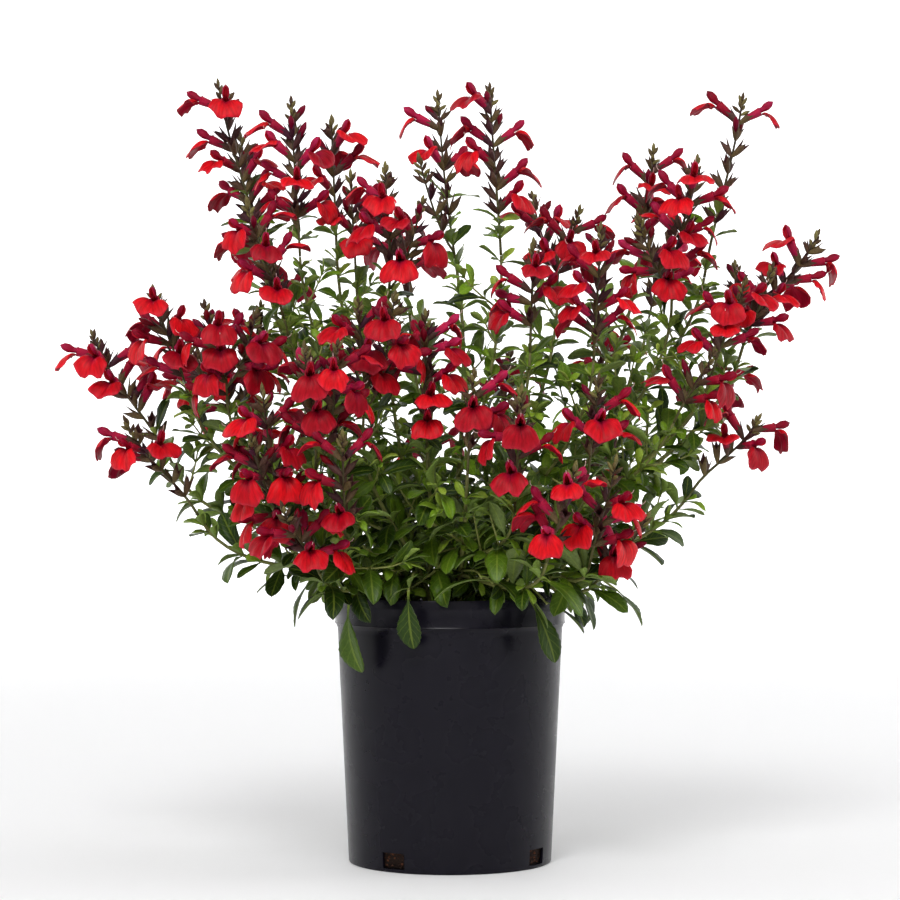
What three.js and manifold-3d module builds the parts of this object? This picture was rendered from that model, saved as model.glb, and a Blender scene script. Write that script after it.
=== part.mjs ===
// Perennial salvia in a round nursery pot. Millimetres, +Z up.
// The origin is the middle of the pot's flat base, and -Y is the plant's front.
import * as THREE from 'three';
import { mergeVertices } from 'three/addons/utils/BufferGeometryUtils.js';
import Module from 'manifold-3d';

const wasm = await Module();
wasm.setup();

// ---------------------------------------------------------------- driving dimensions
const POT_HEIGHT = 193.5;
const POT_BASE_RADIUS = 73.6;
const POT_TOP_RADIUS = 81.8; // the wall just under the rim band
const POT_WALL = 1.8;
const POT_FLOOR = 2.4;
const POT_SEGMENTS = 28;
const RIM_HEIGHT = 23;
const RIM_RADIUS = 83.6;
const BEAD_DROP = 6.5; // the bead line, below the pot's mouth
const BEAD_PROUD = 0.5;
const WINDOW_WIDTH = 18;
const WINDOW_TOP = 14;
const WINDOW_FIRST_ANGLE = -123; // degrees from +X, the other three are 90 degrees apart
const GAP = 0.3; // between neighbouring solids

const SOIL_TOP = 172;
const SOIL_EDGE = 166;
const SOIL_SEGMENTS = 18;
const ROOT_DEPTH = 25; // how far the stems stand in the soil

// Stems are three-sided: the section's outer radius at the foot and top, steps of the curve.
const LEADER = { radius: [2.8, 1.4], steps: 7 };
const BRANCH = { radius: [1.8, 1.3], steps: 5 };
const TWIG = { radius: [1.3, 0.9], steps: 3 };
const RACHIS = { radius: [1.3, 0.9], steps: 4 };
const LONGEST_STEP = 42; // between rings of a stem's skin
const NODE_HALF = 1; // half the length of the short step that an organ grows from

const PAIR_SPACING = 108; // between pairs of leaves along a stem
const TWIG_PAIR_SPACING = 44;
const LEAF_LENGTH = [16, 25];
const LEAF_SLENDERNESS = 0.4; // width over length
const LEAF_THICKNESS = 1.2; // at the midrib
const LARGE_LEAF_THICKNESS = 1.5;
const SPIKE_NODE = 8; // flowers sit at multiples of this below the tip
const CALYX_STRIDE = 7; // spent calyces sit half way between, at every seventh place
const CALYX_LENGTH = 11;
const BUD_LENGTH = 8;
const BUD_RADIUS = 1.9;

// ---------------------------------------------------------------- the plant's plan
// Each shoot is one stem from the soil with its forks. A bunch is where a fork ends and
// one or two flower spikes begin: [base, [tip, flowers], ...]. A flower is a heading, with
// F for front, and the distance of its foot below the spike's tip. FORKS says how far up
// the first fork's stem each later fork leaves it.
const SHOOTS = [
  {
    root: [-24, 6],
    bunches: [
      [[-138, 12, 440], [[-170, 20, 565], 'L18 F24 L50 FL61 FR72 BL84 F86 FR98'], [[-156, 50, 530], '']],
      [[-108, -25, 438], [[-114, -30, 546], 'L20 FL39 FR48 L56 F64 L77 F80']],
      [[-118, -50, 392], [[-143, -62, 472], 'FL23 R26 L34 F40 R48 FL52 F68']],
    ],
    forks: [0.55, 0.4],
  },
  {
    root: [-14, -4],
    bunches: [
      [[-84, 30, 450], [[-88, 42, 542], 'FR20 R26 R41 FL56']],
      [
        [-44, -42, 408], [[-46, -50, 497], 'L20 F33 R46 FL48'],
        [[-20, -72, 472], 'FL22 FR33 F47'],
      ],
      [[-68, -6, 418], [[-72, -10, 495], 'F20 R32 FL42 F59']],
    ],
    forks: [0.35, 0.6],
  },
  {
    root: [0, 8],
    bunches: [
      [[4, 36, 440], [[-9, 60, 562], 'L27 FL53 R55'], [[-22, 22, 511], '']],
      [[37, -8, 440], [[29, -10, 559], 'FL13 R41 L42 FL58 R74 FR85']],
    ],
    forks: [0.45],
  },
  {
    root: [10, -4],
    bunches: [
      [[80, 40, 425], [[95, 30, 474], 'R18 L22 F34 FL50 R46'], [[63, 92, 491], 'L30 F44']],
      [[57, -48, 368], [[59, -60, 442], 'F24 L30 FR41 FL43 L55']],
      [[101, -72, 362], [[105, -90, 451], 'F22 L31 FL46 FR57 FL61 R71 L72']],
    ],
    forks: [0.4, 0.3],
  },
  {
    root: [20, 6],
    bunches: [
      [[140, 34, 440], [[151, 42, 520], 'R19 L22 F36 R36 FL50 FR60']],
      [
        [160, -20, 408], [[178, -20, 506], 'F25 R30 L34 FL42 L52 R54 FR66 F82'],
        [[135, -42, 462], 'FR28 FL31 L40 F46'],
      ],
      [[186, 8, 425], [[214, 10, 554], 'L12 R17']],
    ],
    forks: [0.35, 0.55],
  },
  {
    root: [28, -6],
    bunches: [
      [
        [214, 4, 375], [[268, 10, 454], 'R24 FL26 R36 F38 R50 FR60 F72'],
        [[231, -30, 428], 'L25 FL38 F46'], [[214, 60, 436], ''],
      ],
      [[186, -48, 352], [[208, -62, 416], 'FR19 F24 L33 F37 R50 FL58']],
      [[158, -62, 318], [[184, -76, 366], 'FR25 L36 FR42']],
      [[172, -36, 268], [[219, -42, 319], 'R10 L18 FR20 FL29 F34']],
    ],
    forks: [0.5, 0.4, 0.25],
  },
  {
    root: [-32, -4],
    bunches: [
      [[-190, -30, 345], [[-211, -44, 411], 'F18 FR28 FL34 L42 F54 FL66']],
      [
        [-158, -58, 338], [[-172, -72, 399], 'F20 R30 FL34 L40 F52 R60 FL70'],
        [[-136, -84, 392], 'FL20 F30 FR40 R48'],
      ],
      [
        [-150, 28, 318], [[-140, 24, 403], 'FL26 FR36 L44 R54 F56'],
        [[-196, 42, 372], 'L24 F27 L40 FR40 R54 FL58'],
      ],
      [[-200, 2, 284], [[-260, 2, 381], 'L12 FL22 FR24 R37 F46 FR56 R64']],
      [[-178, -46, 250], [[-228, -62, 317], 'L12 FL22 L30 F34']],
    ],
    forks: [0.6, 0.35, 0.45, 0.3],
  },
  {
    root: [-10, -18],
    bunches: [
      [
        [-60, -98, 322], [[-63, -120, 398], 'R16 FL24 R32 F38 L50 FR54 F66'],
        [[-38, -128, 402], 'F20 FL30 R36 F44 L56'],
      ],
      [
        [-92, -120, 285], [[-98, -152, 365], 'F22 L26 FR34 R44 F48 R60 L65'],
        [[-76, -156, 368], 'R18 F26 FL34 F46'],
      ],
      [[-16, -88, 300], [[-17, -112, 390], 'R12 L22 FR26 FL39 FR51 F64 F80']],
    ],
    forks: [0.4, 0.3],
  },
  {
    root: [-20, -22],
    bunches: [
      [
        [-116, -104, 248], [[-128, -126, 337], 'FL20 R24 F30 R34 L40 FR46 L54 F58'],
        [[-134, -150, 306], 'L22 F30 R37 FL45 FR54 F60 FL68'],
      ],
      [[-72, -122, 240], [[-72, -166, 306], 'R14 L17 FL40 F60']],
      [[-90, -112, 214], [[-112, -154, 258], 'L21 F27 R30 F36 FL40 L48 FR50']],
    ],
    forks: [0.58, 0.46],
  },
  {
    root: [6, -22],
    bunches: [
      [[12, -112, 282], [[16, -142, 348], 'R15 F20 FR34 R44']],
      [[44, -124, 256], [[48, -162, 336], 'F21 L33 R44 F64']],
      [[66, -132, 222], [[83, -180, 286], 'F17 R34 L44 F56 FL66']],
    ],
    forks: [0.55, 0.42],
  },
  {
    root: [22, -20],
    bunches: [
      [[96, -94, 280], [[102, -118, 345], 'R20 F28 FL40 R44']],
      [[96, -108, 218], [[112, -142, 289], 'F34 L41 R50 FL56 F66']],
      [[104, -78, 208], [[136, -96, 250], 'L28 F40 L50']],
    ],
    forks: [0.55, 0.44],
  },
  {
    root: [-14, 20],
    bunches: [
      [[-122, 105, 388], [[-148, 130, 468], 'BL18 B30 L42 BR52']],
      [[-158, 88, 318], [[-204, 108, 390], 'L16 BL28 B44']],
      [[-86, 140, 290], [[-95, 186, 398], 'B18 BR30 BL40'], [[-132, 190, 310], 'BL18 B32']],
    ],
    forks: [0.5, 0.35],
  },
  {
    root: [2, 24],
    bunches: [
      [[-30, 108, 392], [[-40, 130, 480], 'B20 BL34 BR44']],
      [[-14, 160, 262], [[-20, 208, 325], 'B18 BR32 BL42']],
      [[38, 140, 300], [[48, 176, 375], 'B16 R30 BL38']],
    ],
    forks: [0.3, 0.4],
  },
  {
    root: [16, 20],
    bunches: [
      [[150, 98, 390], [[170, 122, 470], 'BR20 B32 R44']],
      [[104, 124, 270], [[122, 158, 400], 'B18 R28 BL40'], [[134, 186, 306], 'B18 BR30']],
      [[165, 80, 298], [[212, 98, 368], 'R16 BR30 B42']],
    ],
    forks: [0.35, 0.45],
  },
];

// Large leaves that hang outside the pot's rim on low twigs:
// [shoot, height where the twig leaves its stem, end of the twig, way the leaf points, length, width]
const DRAPES = [
  [8, 214, [-70, -64, 190], [0.06, -0.12, -1], 40, 19],
  [7, 212, [-29, -93, 201], [0.04, -0.1, -1], 33, 15],
  [10, 217, [55, -80, 195], [0.4, -0.1, -1], 40, 15],
  [10, 204, [90, -50, 205], [0.35, -0.1, -1], 30, 9],
  [8, 226, [-98, -36, 208], [-0.35, -0.1, -1], 31, 12],
  [6, 222, [-110, -20, 208], [-1, -0.25, -0.25], 27, 12],
  [9, 203, [30, -90, 206], [-1, -0.3, -0.05], 34, 10],
  [9, 214, [22, -96, 210], [0.8, -0.5, -0.3], 30, 13],
  [10, 210, [68, -76, 191], [0.8, -0.2, -0.6], 28, 12],
  [10, 232, [118, -66, 200], [0.6, -0.2, -0.8], 26, 13],
  [5, 224, [112, -8, 216], [0.9, 0.1, -0.5], 26, 11],
  [11, 220, [-60, 82, 210], [-0.4, 0.8, -0.6], 30, 12],
  [12, 214, [6, 100, 210], [0.1, 0.7, -0.8], 30, 12],
  [13, 222, [72, 74, 210], [0.5, 0.6, -0.7], 30, 12],
];

// ---------------------------------------------------------------- vectors
const UP = [0, 0, 1];
const add = (a, b) => [a[0] + b[0], a[1] + b[1], a[2] + b[2]];
const sub = (a, b) => [a[0] - b[0], a[1] - b[1], a[2] - b[2]];
const mul = (a, k) => [a[0] * k, a[1] * k, a[2] * k];
const dot = (a, b) => a[0] * b[0] + a[1] * b[1] + a[2] * b[2];
const cross = (a, b) => [a[1] * b[2] - a[2] * b[1], a[2] * b[0] - a[0] * b[2], a[0] * b[1] - a[1] * b[0]];
const length = (a) => Math.sqrt(dot(a, a));
const unit = (a) => mul(a, 1 / length(a));
const mix = (a, b, t) => add(mul(a, 1 - t), mul(b, t));
const square = (direction, to) => unit(sub(direction, mul(to, dot(direction, to))));
const radians = (degrees) => (degrees * Math.PI) / 180;

// A number from 0 to 1 that depends only on the whole number given.
function noise(key) {
  let t = Math.imul((key + 1) | 0, 0x9e3779b1) >>> 0;
  t = Math.imul(t ^ (t >>> 15), t | 1) >>> 0;
  t = (t ^ ((t + Math.imul(t ^ (t >>> 7), t | 61)) >>> 0)) >>> 0;
  return ((t ^ (t >>> 14)) >>> 0) / 4294967296;
}
const spread = (key, reach) => (noise(key) * 2 - 1) * reach;

// ---------------------------------------------------------------- stems
// A stem is a row of points with its radius at the foot and top. Its side vector keeps the
// section from turning.
function makeStem(kind, start, startWay, end, endWay, pull = 0.38, lead = []) {
  const span = length(sub(end, start));
  const p1 = add(start, mul(startWay, span * pull));
  const p2 = sub(end, mul(endWay, span * 0.38));
  const points = [...lead];
  for (let i = 0; i <= kind.steps; i++) {
    const t = i / kind.steps;
    points.push(mix(mix(mix(start, p1, t), mix(p1, p2, t), t), mix(mix(p1, p2, t), mix(p2, end, t), t), t));
  }
  const chord = sub(end, start);
  const flat = Math.hypot(chord[0], chord[1]);
  const side = flat > 1 ? [-chord[1] / flat, chord[0] / flat, 0] : [1, 0, 0];
  const runs = [0];
  for (let i = 1; i < points.length; i++) runs.push(runs[i - 1] + length(sub(points[i], points[i - 1])));
  const firstWay = lead.length ? unit(sub(points[1], points[0])) : startWay;
  return { kind, points, runs, side, total: runs[runs.length - 1], startWay: firstWay, endWay, organs: [] };
}

// The place at a distance along the stem, with the stem's direction there.
function alongStem(stem, distance) {
  const d = Math.min(Math.max(distance, 0), stem.total);
  let i = 1;
  while (i < stem.runs.length - 1 && stem.runs[i] < d) i++;
  const t = (d - stem.runs[i - 1]) / (stem.runs[i] - stem.runs[i - 1]);
  const way = unit(sub(stem.points[i], stem.points[i - 1]));
  return { at: mix(stem.points[i - 1], stem.points[i], t), way };
}

function distanceAtHeight(stem, height) {
  let distance = 0;
  while (distance < stem.total && alongStem(stem, distance).at[2] < height) distance += 1;
  return distance;
}

const bunchWay = (bunch) => {
  const tips = bunch.slice(1).map((spike) => spike[0]);
  const middle = mul(tips.reduce(add), 1 / tips.length);
  return unit(add(unit(sub(middle, bunch[0])), mul(UP, 0.3)));
};

// A stem that leaves another one sideways, towards its own end.
function forkStem(kind, parent, distance, end, endWay, pull = 0.22) {
  const { at, way } = alongStem(parent, distance);
  const startWay = unit(add(square(sub(end, at), way), mul(way, 0.7)));
  const stem = makeStem(kind, at, startWay, end, endWay, pull);
  parent.organs.push({ distance, out: startWay, stem });
  return stem;
}

// The forked stem of one shoot. Its first fork ends at the first bunch.
function shootStems(shoot) {
  const foot = [shoot.root[0], shoot.root[1], SOIL_TOP + 4];
  const [base] = shoot.bunches[0];
  const outward = sub([base[0], base[1], 0], [foot[0], foot[1], 0]);
  const startWay = unit(add(UP, mul(outward, 0.7 / Math.max(length(sub(base, foot)), 1))));
  const below = [foot[0], foot[1], SOIL_TOP - ROOT_DEPTH];
  const leader = makeStem(LEADER, foot, startWay, base, bunchWay(shoot.bunches[0]), 0.38, [below]);
  const forks = shoot.forks.map((fork, i) => {
    const bunch = shoot.bunches[i + 1];
    return forkStem(BRANCH, leader, leader.total * fork, bunch[0], bunchWay(bunch));
  });
  return [leader, ...forks];
}

const spikeEnd = (start, tip) => unit(add(unit(sub(tip, start)), mul(UP, 0.5)));
function spikeStems(bunch) {
  const way = bunchWay(bunch);
  const start = add(bunch[0], mul(way, GAP));
  const [[tip], ...others] = bunch.slice(1);
  const first = makeStem(RACHIS, start, way, tip, spikeEnd(start, tip));
  const rest = others.map(([end], i) => forkStem(RACHIS, first, 5 + i * 6, end, spikeEnd(start, end)));
  return [first, ...rest];
}

// ---------------------------------------------------------------- outlines of the organs
// Each is a list of points in the organ's own frame: x outwards, y sideways, z up.
const mirror = ([x, y, z]) => [x, -y, z];
// From the -y side over the middle to the +y side, given the -y half with y as a positive.
const bothSides = (list) => [...list.map(mirror), ...list.filter((p) => p[1] !== 0).reverse()];

// A flower: calyx and tube rise from the foot, the hood goes on up, the lip spreads and droops.
const RISE = 42;
const ringAt = (x, z, r) => {
  const c = Math.cos(radians(RISE)) * r;
  const s = Math.sin(radians(RISE)) * r;
  return [[x, r, z], [x - s, 0, z + c], [x, -r, z], [x + s, 0, z - c]];
};
const THROAT_RING = ringAt(15.6, 12.2, 3.4);
const MOUTH = [17.4, 0, 12.6];
const HOOD_TIP = [24, 0, 20.5];
const LIP = [[21.5, 11.6, 10.6], [28.8, 8.4, 3.2], [26.6, 0, 5.2]];

// A leaf of length 1 and width 1 along x, with its tip bent down.
const LEAF = [[0.3, 0.25, 0.05], [0.66, 0.5, 0.01], [1, 0, -0.12]];
const LEAF_MIDDLE = [0.58, 0, 0.02];
// A large leaf with teeth.
const LARGE_LEAF = [
  [0.16, 0.1, 0.02], [0.3, 0.33, 0.04], [0.36, 0.3, 0.045], [0.5, 0.49, 0.05], [0.55, 0.44, 0.045],
  [0.7, 0.5, 0.03], [0.74, 0.43, 0.02], [0.88, 0.32, -0.02], [1, 0, -0.07],
];
const LARGE_LEAF_MIDDLE = [0.56, 0, 0.05];

const CALYX_TEETH = [[1.12, 0.26, 0.72], [0.8, 0, 1], [1.12, -0.26, 0.72]];
const CALYX_MOUTH = [0.86, 0, 0.68];

// ---------------------------------------------------------------- where an organ sits
// A frame has a foot, three directions, and three scales.
function frameAt(foot, out, up, scale = [1, 1, 1]) {
  const x = unit(out);
  const z = square(up, x);
  return { foot, x, y: cross(z, x), z, scale };
}
const place = (frame, [x, y, z]) => {
  const across = add(mul(frame.x, x * frame.scale[0]), mul(frame.y, y * frame.scale[1]));
  return add(frame.foot, add(across, mul(frame.z, z * frame.scale[2])));
};

// A flower or calyx stands nearly square to its stem on the side that its heading gives.
const SQUARENESS = 0.8;
const flowerFrame = (stem, distance, heading, tilt, scale) => {
  const { at, way } = alongStem(stem, distance);
  const flat = [Math.cos(radians(heading)), Math.sin(radians(heading)), 0];
  const level = unit(sub(flat, mul(way, dot(flat, way) * SQUARENESS)));
  const out = add(mul(level, Math.cos(radians(tilt))), mul(UP, Math.sin(radians(tilt))));
  return frameAt(at, out, UP, [scale, scale, scale]);
};

// ---------------------------------------------------------------- room between the nodes
// Boxes round the organs show whether one would touch an organ of another node.
const SAFE = GAP / 2;
function boxOf(points, axes) {
  const low = axes.map((axis) => Math.min(...points.map((p) => dot(p, axis))));
  const high = axes.map((axis) => Math.max(...points.map((p) => dot(p, axis))));
  const reach = axes.map((axis, i) => (high[i] - low[i]) / 2 + SAFE);
  const centre = axes.map((axis, i) => mul(axis, (high[i] + low[i]) / 2)).reduce(add);
  return { centre, axes, reach, radius: length(reach) };
}

function boxesTouch(a, b) {
  const apart = sub(b.centre, a.centre);
  if (length(apart) > a.radius + b.radius) return false;
  const tests = [...a.axes, ...b.axes];
  for (const u of a.axes) for (const v of b.axes) tests.push(cross(u, v));
  return tests.every((axis) => {
    if (dot(axis, axis) < 1e-6) return true;
    const spanA = a.axes.reduce((sum, u, i) => sum + Math.abs(dot(u, axis)) * a.reach[i], 0);
    const spanB = b.axes.reduce((sum, u, i) => sum + Math.abs(dot(u, axis)) * b.reach[i], 0);
    return Math.abs(dot(apart, axis)) <= spanA + spanB;
  });
}

function stemBoxes(stem) {
  const boxes = [];
  for (let i = 1; i < stem.points.length; i++) {
    const way = unit(sub(stem.points[i], stem.points[i - 1]));
    const side = square(stem.side, way);
    const up = cross(way, side);
    const r = stem.kind.radius[0];
    const corners = [stem.points[i - 1], stem.points[i]].flatMap((p) => [
      add(p, mul(side, r)), sub(p, mul(side, r)), add(p, mul(up, r)), sub(p, mul(up, r)),
    ]);
    boxes.push(boxOf(corners, [way, side, up]));
  }
  return boxes;
}

function flowerBoxes(frame) {
  const put = (points) => points.map((p) => place(frame, p));
  const tilted = (angle) => {
    const x = add(mul(frame.x, Math.cos(radians(angle))), mul(frame.z, Math.sin(radians(angle))));
    return [x, frame.y, cross(x, frame.y)];
  };
  const [left, top, right, bottom] = THROAT_RING;
  return [
    boxOf(put([[2.4, 0, 2.2], ...THROAT_RING]), tilted(RISE)),
    boxOf(put([left, top, right, MOUTH, HOOD_TIP]), tilted(50)),
    boxOf(put([bottom, right, ...LIP.map(mirror), MOUTH]), tilted(-35)),
    boxOf(put([bottom, left, ...LIP, MOUTH]), tilted(-35)),
  ];
}

const leafPoints = (frame, outline, middle, thick) => {
  const rim = bothSides(outline).map((p) => place(frame, p));
  const centre = place(frame, middle);
  return { rim, top: add(centre, mul(frame.z, thick / 2)), bottom: sub(centre, mul(frame.z, thick / 2)) };
};
const leafBoxes = (frame, outline, middle, thick) => {
  const { rim, top, bottom } = leafPoints(frame, outline, middle, thick);
  return [boxOf([...rim, mix(frame.foot, top, 0.3), top, bottom], [frame.x, frame.y, frame.z])];
};

const calyxPoints = (frame) => [...CALYX_TEETH, CALYX_MOUTH].map((p) => place(frame, p));
const calyxBoxes = (frame) => {
  const way = unit(sub(place(frame, [1, 0, 0.8]), frame.foot));
  const points = [mix(frame.foot, place(frame, CALYX_MOUTH), 0.25), ...calyxPoints(frame)];
  return [boxOf(points, [way, frame.y, cross(way, frame.y)])];
};

// What is already there. Neighbours keep clear of it, in the same node too, because each
// node is one skin.
const taken = [];
const claim = (stem, boxes) => boxes.forEach((box) => taken.push({ stem, box }));
const isFree = (stem, box) => !taken.some((t) => t.stem !== stem && boxesTouch(t.box, box));

// An organ keeps off its own stem beyond the place that it grows from.
const ROOT_REACH = 6;
function clearsOwnStem(stem, foot, boxes) {
  for (let d = 0; d <= stem.total; d += 4) {
    const { at } = alongStem(stem, d);
    const inside = ({ centre, axes, reach }) => axes.every((axis, i) =>
      Math.abs(dot(sub(at, centre), axis)) < reach[i] + stem.kind.radius[0]);
    if (length(sub(at, foot)) > ROOT_REACH && boxes.some(inside)) return false;
  }
  return true;
}

// The pot and the soil, as far as an organ near them matters.
function touchesPot(box) {
  const steps = [-1, -0.5, 0, 0.5, 1];
  return steps.some((i) => steps.some((j) => [-1, 1].some((k) => {
    const p = add(add(box.centre, mul(box.axes[0], box.reach[0] * i)),
      add(mul(box.axes[1], box.reach[1] * j), mul(box.axes[2], box.reach[2] * k)));
    const r = Math.hypot(p[0], p[1]);
    return p[2] < POT_HEIGHT + 2 && (r > 76 ? r < RIM_RADIUS + 2 : p[2] < SOIL_TOP + 3);
  })));
}

// ---------------------------------------------------------------- the layout
const HEADINGS = { R: 0, BR: 45, B: 90, BL: 135, L: 180, FL: 225, F: 270, FR: 315 };
const TURNS = [0, 18, -18, 36, -36, 56, -56, 80, -80];
const TILTS = [0, -14, 14, -26];
const flowersOf = (text) => [...text.matchAll(/([A-Z]+)(\d+)/g)].map((m) => [HEADINGS[m[1]], Number(m[2])]);

// Tries the turns in order and keeps the first place that is clear.
function settle(stem, distance, makeFrame, makeBoxes, turns, build) {
  for (const turn of turns) {
    const frame = makeFrame(turn);
    const boxes = makeBoxes(frame);
    const clear = boxes.every((box) => !touchesPot(box) && isFree(stem, box));
    if (clear && clearsOwnStem(stem, frame.foot, boxes)) {
      claim(null, boxes);
      stem.organs.push({ distance, out: sub(boxes[0].centre, frame.foot), frame, build });
      return frame;
    }
  }
  return null;
}

function addFlowers(spike, index) {
  spike.stems.forEach((stem, s) => {
    flowersOf(spike.texts[s]).forEach(([heading, drop], i) => {
      const key = index * 1000 + s * 100 + i * 7;
      const distance = stem.total - Math.round(drop / SPIKE_NODE) * SPIKE_NODE;
      const scale = 0.98 + spread(key, 0.07);
      const heads = heading + spread(key + 1, 12);
      const lift = spread(key + 2, 6);
      const makeFrame = ([turn, tilt]) => flowerFrame(stem, distance, heads + turn, tilt + lift, scale);
      const ways = TILTS.flatMap((tilt) => TURNS.map((turn) => [turn, tilt]));
      const frame = settle(stem, distance, makeFrame, flowerBoxes, ways, flowerSkin);
      if (frame) spike.flowers.push(frame);
    });
  });
}

const CALYX_TURNS = [0, 40, -40, 80, -80, 120, -120, 180];
function addCalyces(spike, index) {
  spike.stems.forEach((stem, s) => {
    const count = Math.round(stem.total / (SPIKE_NODE * CALYX_STRIDE)) - 1;
    for (let i = 0; i < count; i++) {
      const distance = stem.total - SPIKE_NODE * (1.5 + i * CALYX_STRIDE);
      const heading = (index * 77 + i * 130) % 360;
      const makeFrame = (turn) => flowerFrame(stem, distance, heading + turn, 0, CALYX_LENGTH);
      const frame = settle(stem, distance, makeFrame, calyxBoxes, CALYX_TURNS, calyxSkin);
      if (frame) spike.calyces.push(frame);
    }
  });
}

// Short leafy side twigs low on the shoot.
const TWIG_TURNS = [0, 25, -25, 50, -50];
const TWIG_COUNT = 3;
function addTwigs(shoot, index) {
  const leader = shoot.stems[0];
  for (let i = 0; i < TWIG_COUNT; i++) {
    const key = 10000 + index * 40 + i * 5;
    const distance = ROOT_DEPTH + 22 + i * 27 + noise(key) * 8;
    const { at } = alongStem(leader, distance);
    const top = leader.points[leader.points.length - 1];
    const outward = Math.atan2(top[1], top[0]);
    const turnTo = [75, -75, 140, -140][(i + index) % 4] + spread(key + 1, 20);
    const span = 42 + noise(key + 2) * 26 - i * 3;
    for (const turn of TWIG_TURNS) {
      const angle = outward + radians(turnTo + turn);
      const out = unit([Math.cos(angle), Math.sin(angle), 0.45 + noise(key + 3) * 0.5]);
      const twig = forkStem(TWIG, leader, distance, add(at, mul(out, span)), unit(add(out, mul(UP, 0.4))));
      const boxes = stemBoxes(twig);
      const clear = boxes.every((box, n) => !touchesPot(box) && isFree(n === 0 ? leader : null, box));
      if (clear) {
        claim(twig, boxes);
        shoot.stems.push(twig);
        break;
      }
      leader.organs.pop();
    }
  }
}

function addDrapes(shoot, index) {
  const leader = shoot.stems[0];
  DRAPES.filter((drape) => drape[0] === index).forEach(([, height, end, way, long, wide]) => {
    const distance = distanceAtHeight(leader, height);
    const { at } = alongStem(leader, distance);
    const endWay = unit([end[0] - at[0], end[1] - at[1], -30]);
    const twig = forkStem(TWIG, leader, distance, end, endWay, 0.3);
    claim(twig, stemBoxes(twig));
    shoot.stems.push(twig);
    const outward = unit([end[0], end[1], 0]);
    const up = Math.abs(way[2]) > 0.6 ? outward : UP;
    const frame = frameAt(sub(end, mul(endWay, 2)), way, up, [long, wide, long]);
    claim(null, leafBoxes(frame, LARGE_LEAF, LARGE_LEAF_MIDDLE, LARGE_LEAF_THICKNESS));
    twig.organs.push({ distance: twig.total - 3, out: frame.x, frame, build: largeLeafSkin });
    shoot.largeLeaves.push(frame);
  });
}

// Pairs of leaves that face each other, each pair turned a quarter from the last.
function addLeaves(shoot, index) {
  shoot.stems.forEach((stem, s) => {
    const start = s === 0 ? ROOT_DEPTH + 20 : 14;
    const spacing = stem.kind === TWIG ? TWIG_PAIR_SPACING : PAIR_SPACING;
    const count = Math.floor((stem.total - start) / spacing) + 1;
    for (let i = 0; i < count * 2; i++) {
      const pair = Math.floor(i / 2);
      const key = 200000 + index * 4000 + s * 200 + pair * 12;
      const distance = start + pair * spacing + spread(key, 4);
      const { at, way } = alongStem(stem, distance);
      const side = square(stem.side, way);
      const other = cross(way, side);
      const size = LEAF_LENGTH[0] + noise(key + 1 + i) * (LEAF_LENGTH[1] - LEAF_LENGTH[0]);
      const makeFrame = (turn) => {
        const angle = radians(pair * 90 + i * 180 + s * 60 + spread(key + 3 + i, 20) + turn);
        const across = add(mul(side, Math.cos(angle)), mul(other, Math.sin(angle)));
        const out = unit(add(add(across, mul(way, 0.55)), mul(UP, -0.12)));
        const roll = add(mul(side, spread(key + 5 + i, 0.7)), mul(other, spread(key + 7 + i, 0.7)));
        return frameAt(at, out, add(add(UP, mul(way, 0.25)), roll), [size, size * LEAF_SLENDERNESS, size]);
      };
      const makeBoxes = (frame) => leafBoxes(frame, LEAF, LEAF_MIDDLE, LEAF_THICKNESS);
      const frame = settle(stem, distance, makeFrame, makeBoxes, [0, 30, -30, 60, -60, 90, -90], leafSkin);
      if (frame) shoot.leaves.push(frame);
    }
  });
}

// ---------------------------------------------------------------- solids
// A solid from points and faces, where a face with more than three corners is a fan.
function solidFrom(points, faces) {
  const triangles = faces.flatMap((face) => {
    const fan = [];
    for (let i = 1; i < face.length - 1; i++) fan.push(face[0], face[i], face[i + 1]);
    return fan;
  });
  let volume = 0;
  for (let i = 0; i < triangles.length; i += 3) {
    volume += dot(points[triangles[i]], cross(points[triangles[i + 1]], points[triangles[i + 2]]));
  }
  if (volume < 0) triangles.reverse();
  const mesh = new wasm.Mesh({
    numProp: 3,
    vertProperties: new Float32Array(points.flat()),
    triVerts: new Uint32Array(triangles),
  });
  return new wasm.Manifold(mesh);
}

// ---------------------------------------------------------------- skins
// A skin is one closed surface: { points, faces }. A ring is a loop of point numbers, seen
// anticlockwise from the side that grows.
const addRing = (skin, points) => points.map((p) => skin.points.push(p) - 1);

// A band of triangles between two rings, and how far its triangles reach from ring to ring.
function bandBetween(skin, a, b) {
  const faces = [];
  let reach = 0;
  for (let i = 0, j = 0; i < a.length || j < b.length;) {
    const [here, there] = [a[i % a.length], b[j % b.length]];
    reach += length(sub(skin.points[here], skin.points[there]));
    if ((i + 1) / a.length <= (j + 1) / b.length) {
      faces.push([here, a[(i + 1) % a.length], there]);
      i++;
    } else {
      faces.push([here, b[(j + 1) % b.length], there]);
      j++;
    }
  }
  return { faces, reach };
}

// Joins two rings with the band that reaches least, so it isn't twisted.
function zip(skin, a, b) {
  const bands = b.map((_, start) => bandBetween(skin, a, [...b.slice(start), ...b.slice(0, start)]));
  const best = bands.reduce((least, band) => (band.reach < least.reach ? band : least));
  skin.faces.push(...best.faces);
}

function closeTo(skin, ring, point) {
  const [apex] = addRing(skin, [point]);
  ring.forEach((p, i) => skin.faces.push([p, ring[(i + 1) % ring.length], apex]));
}

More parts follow.
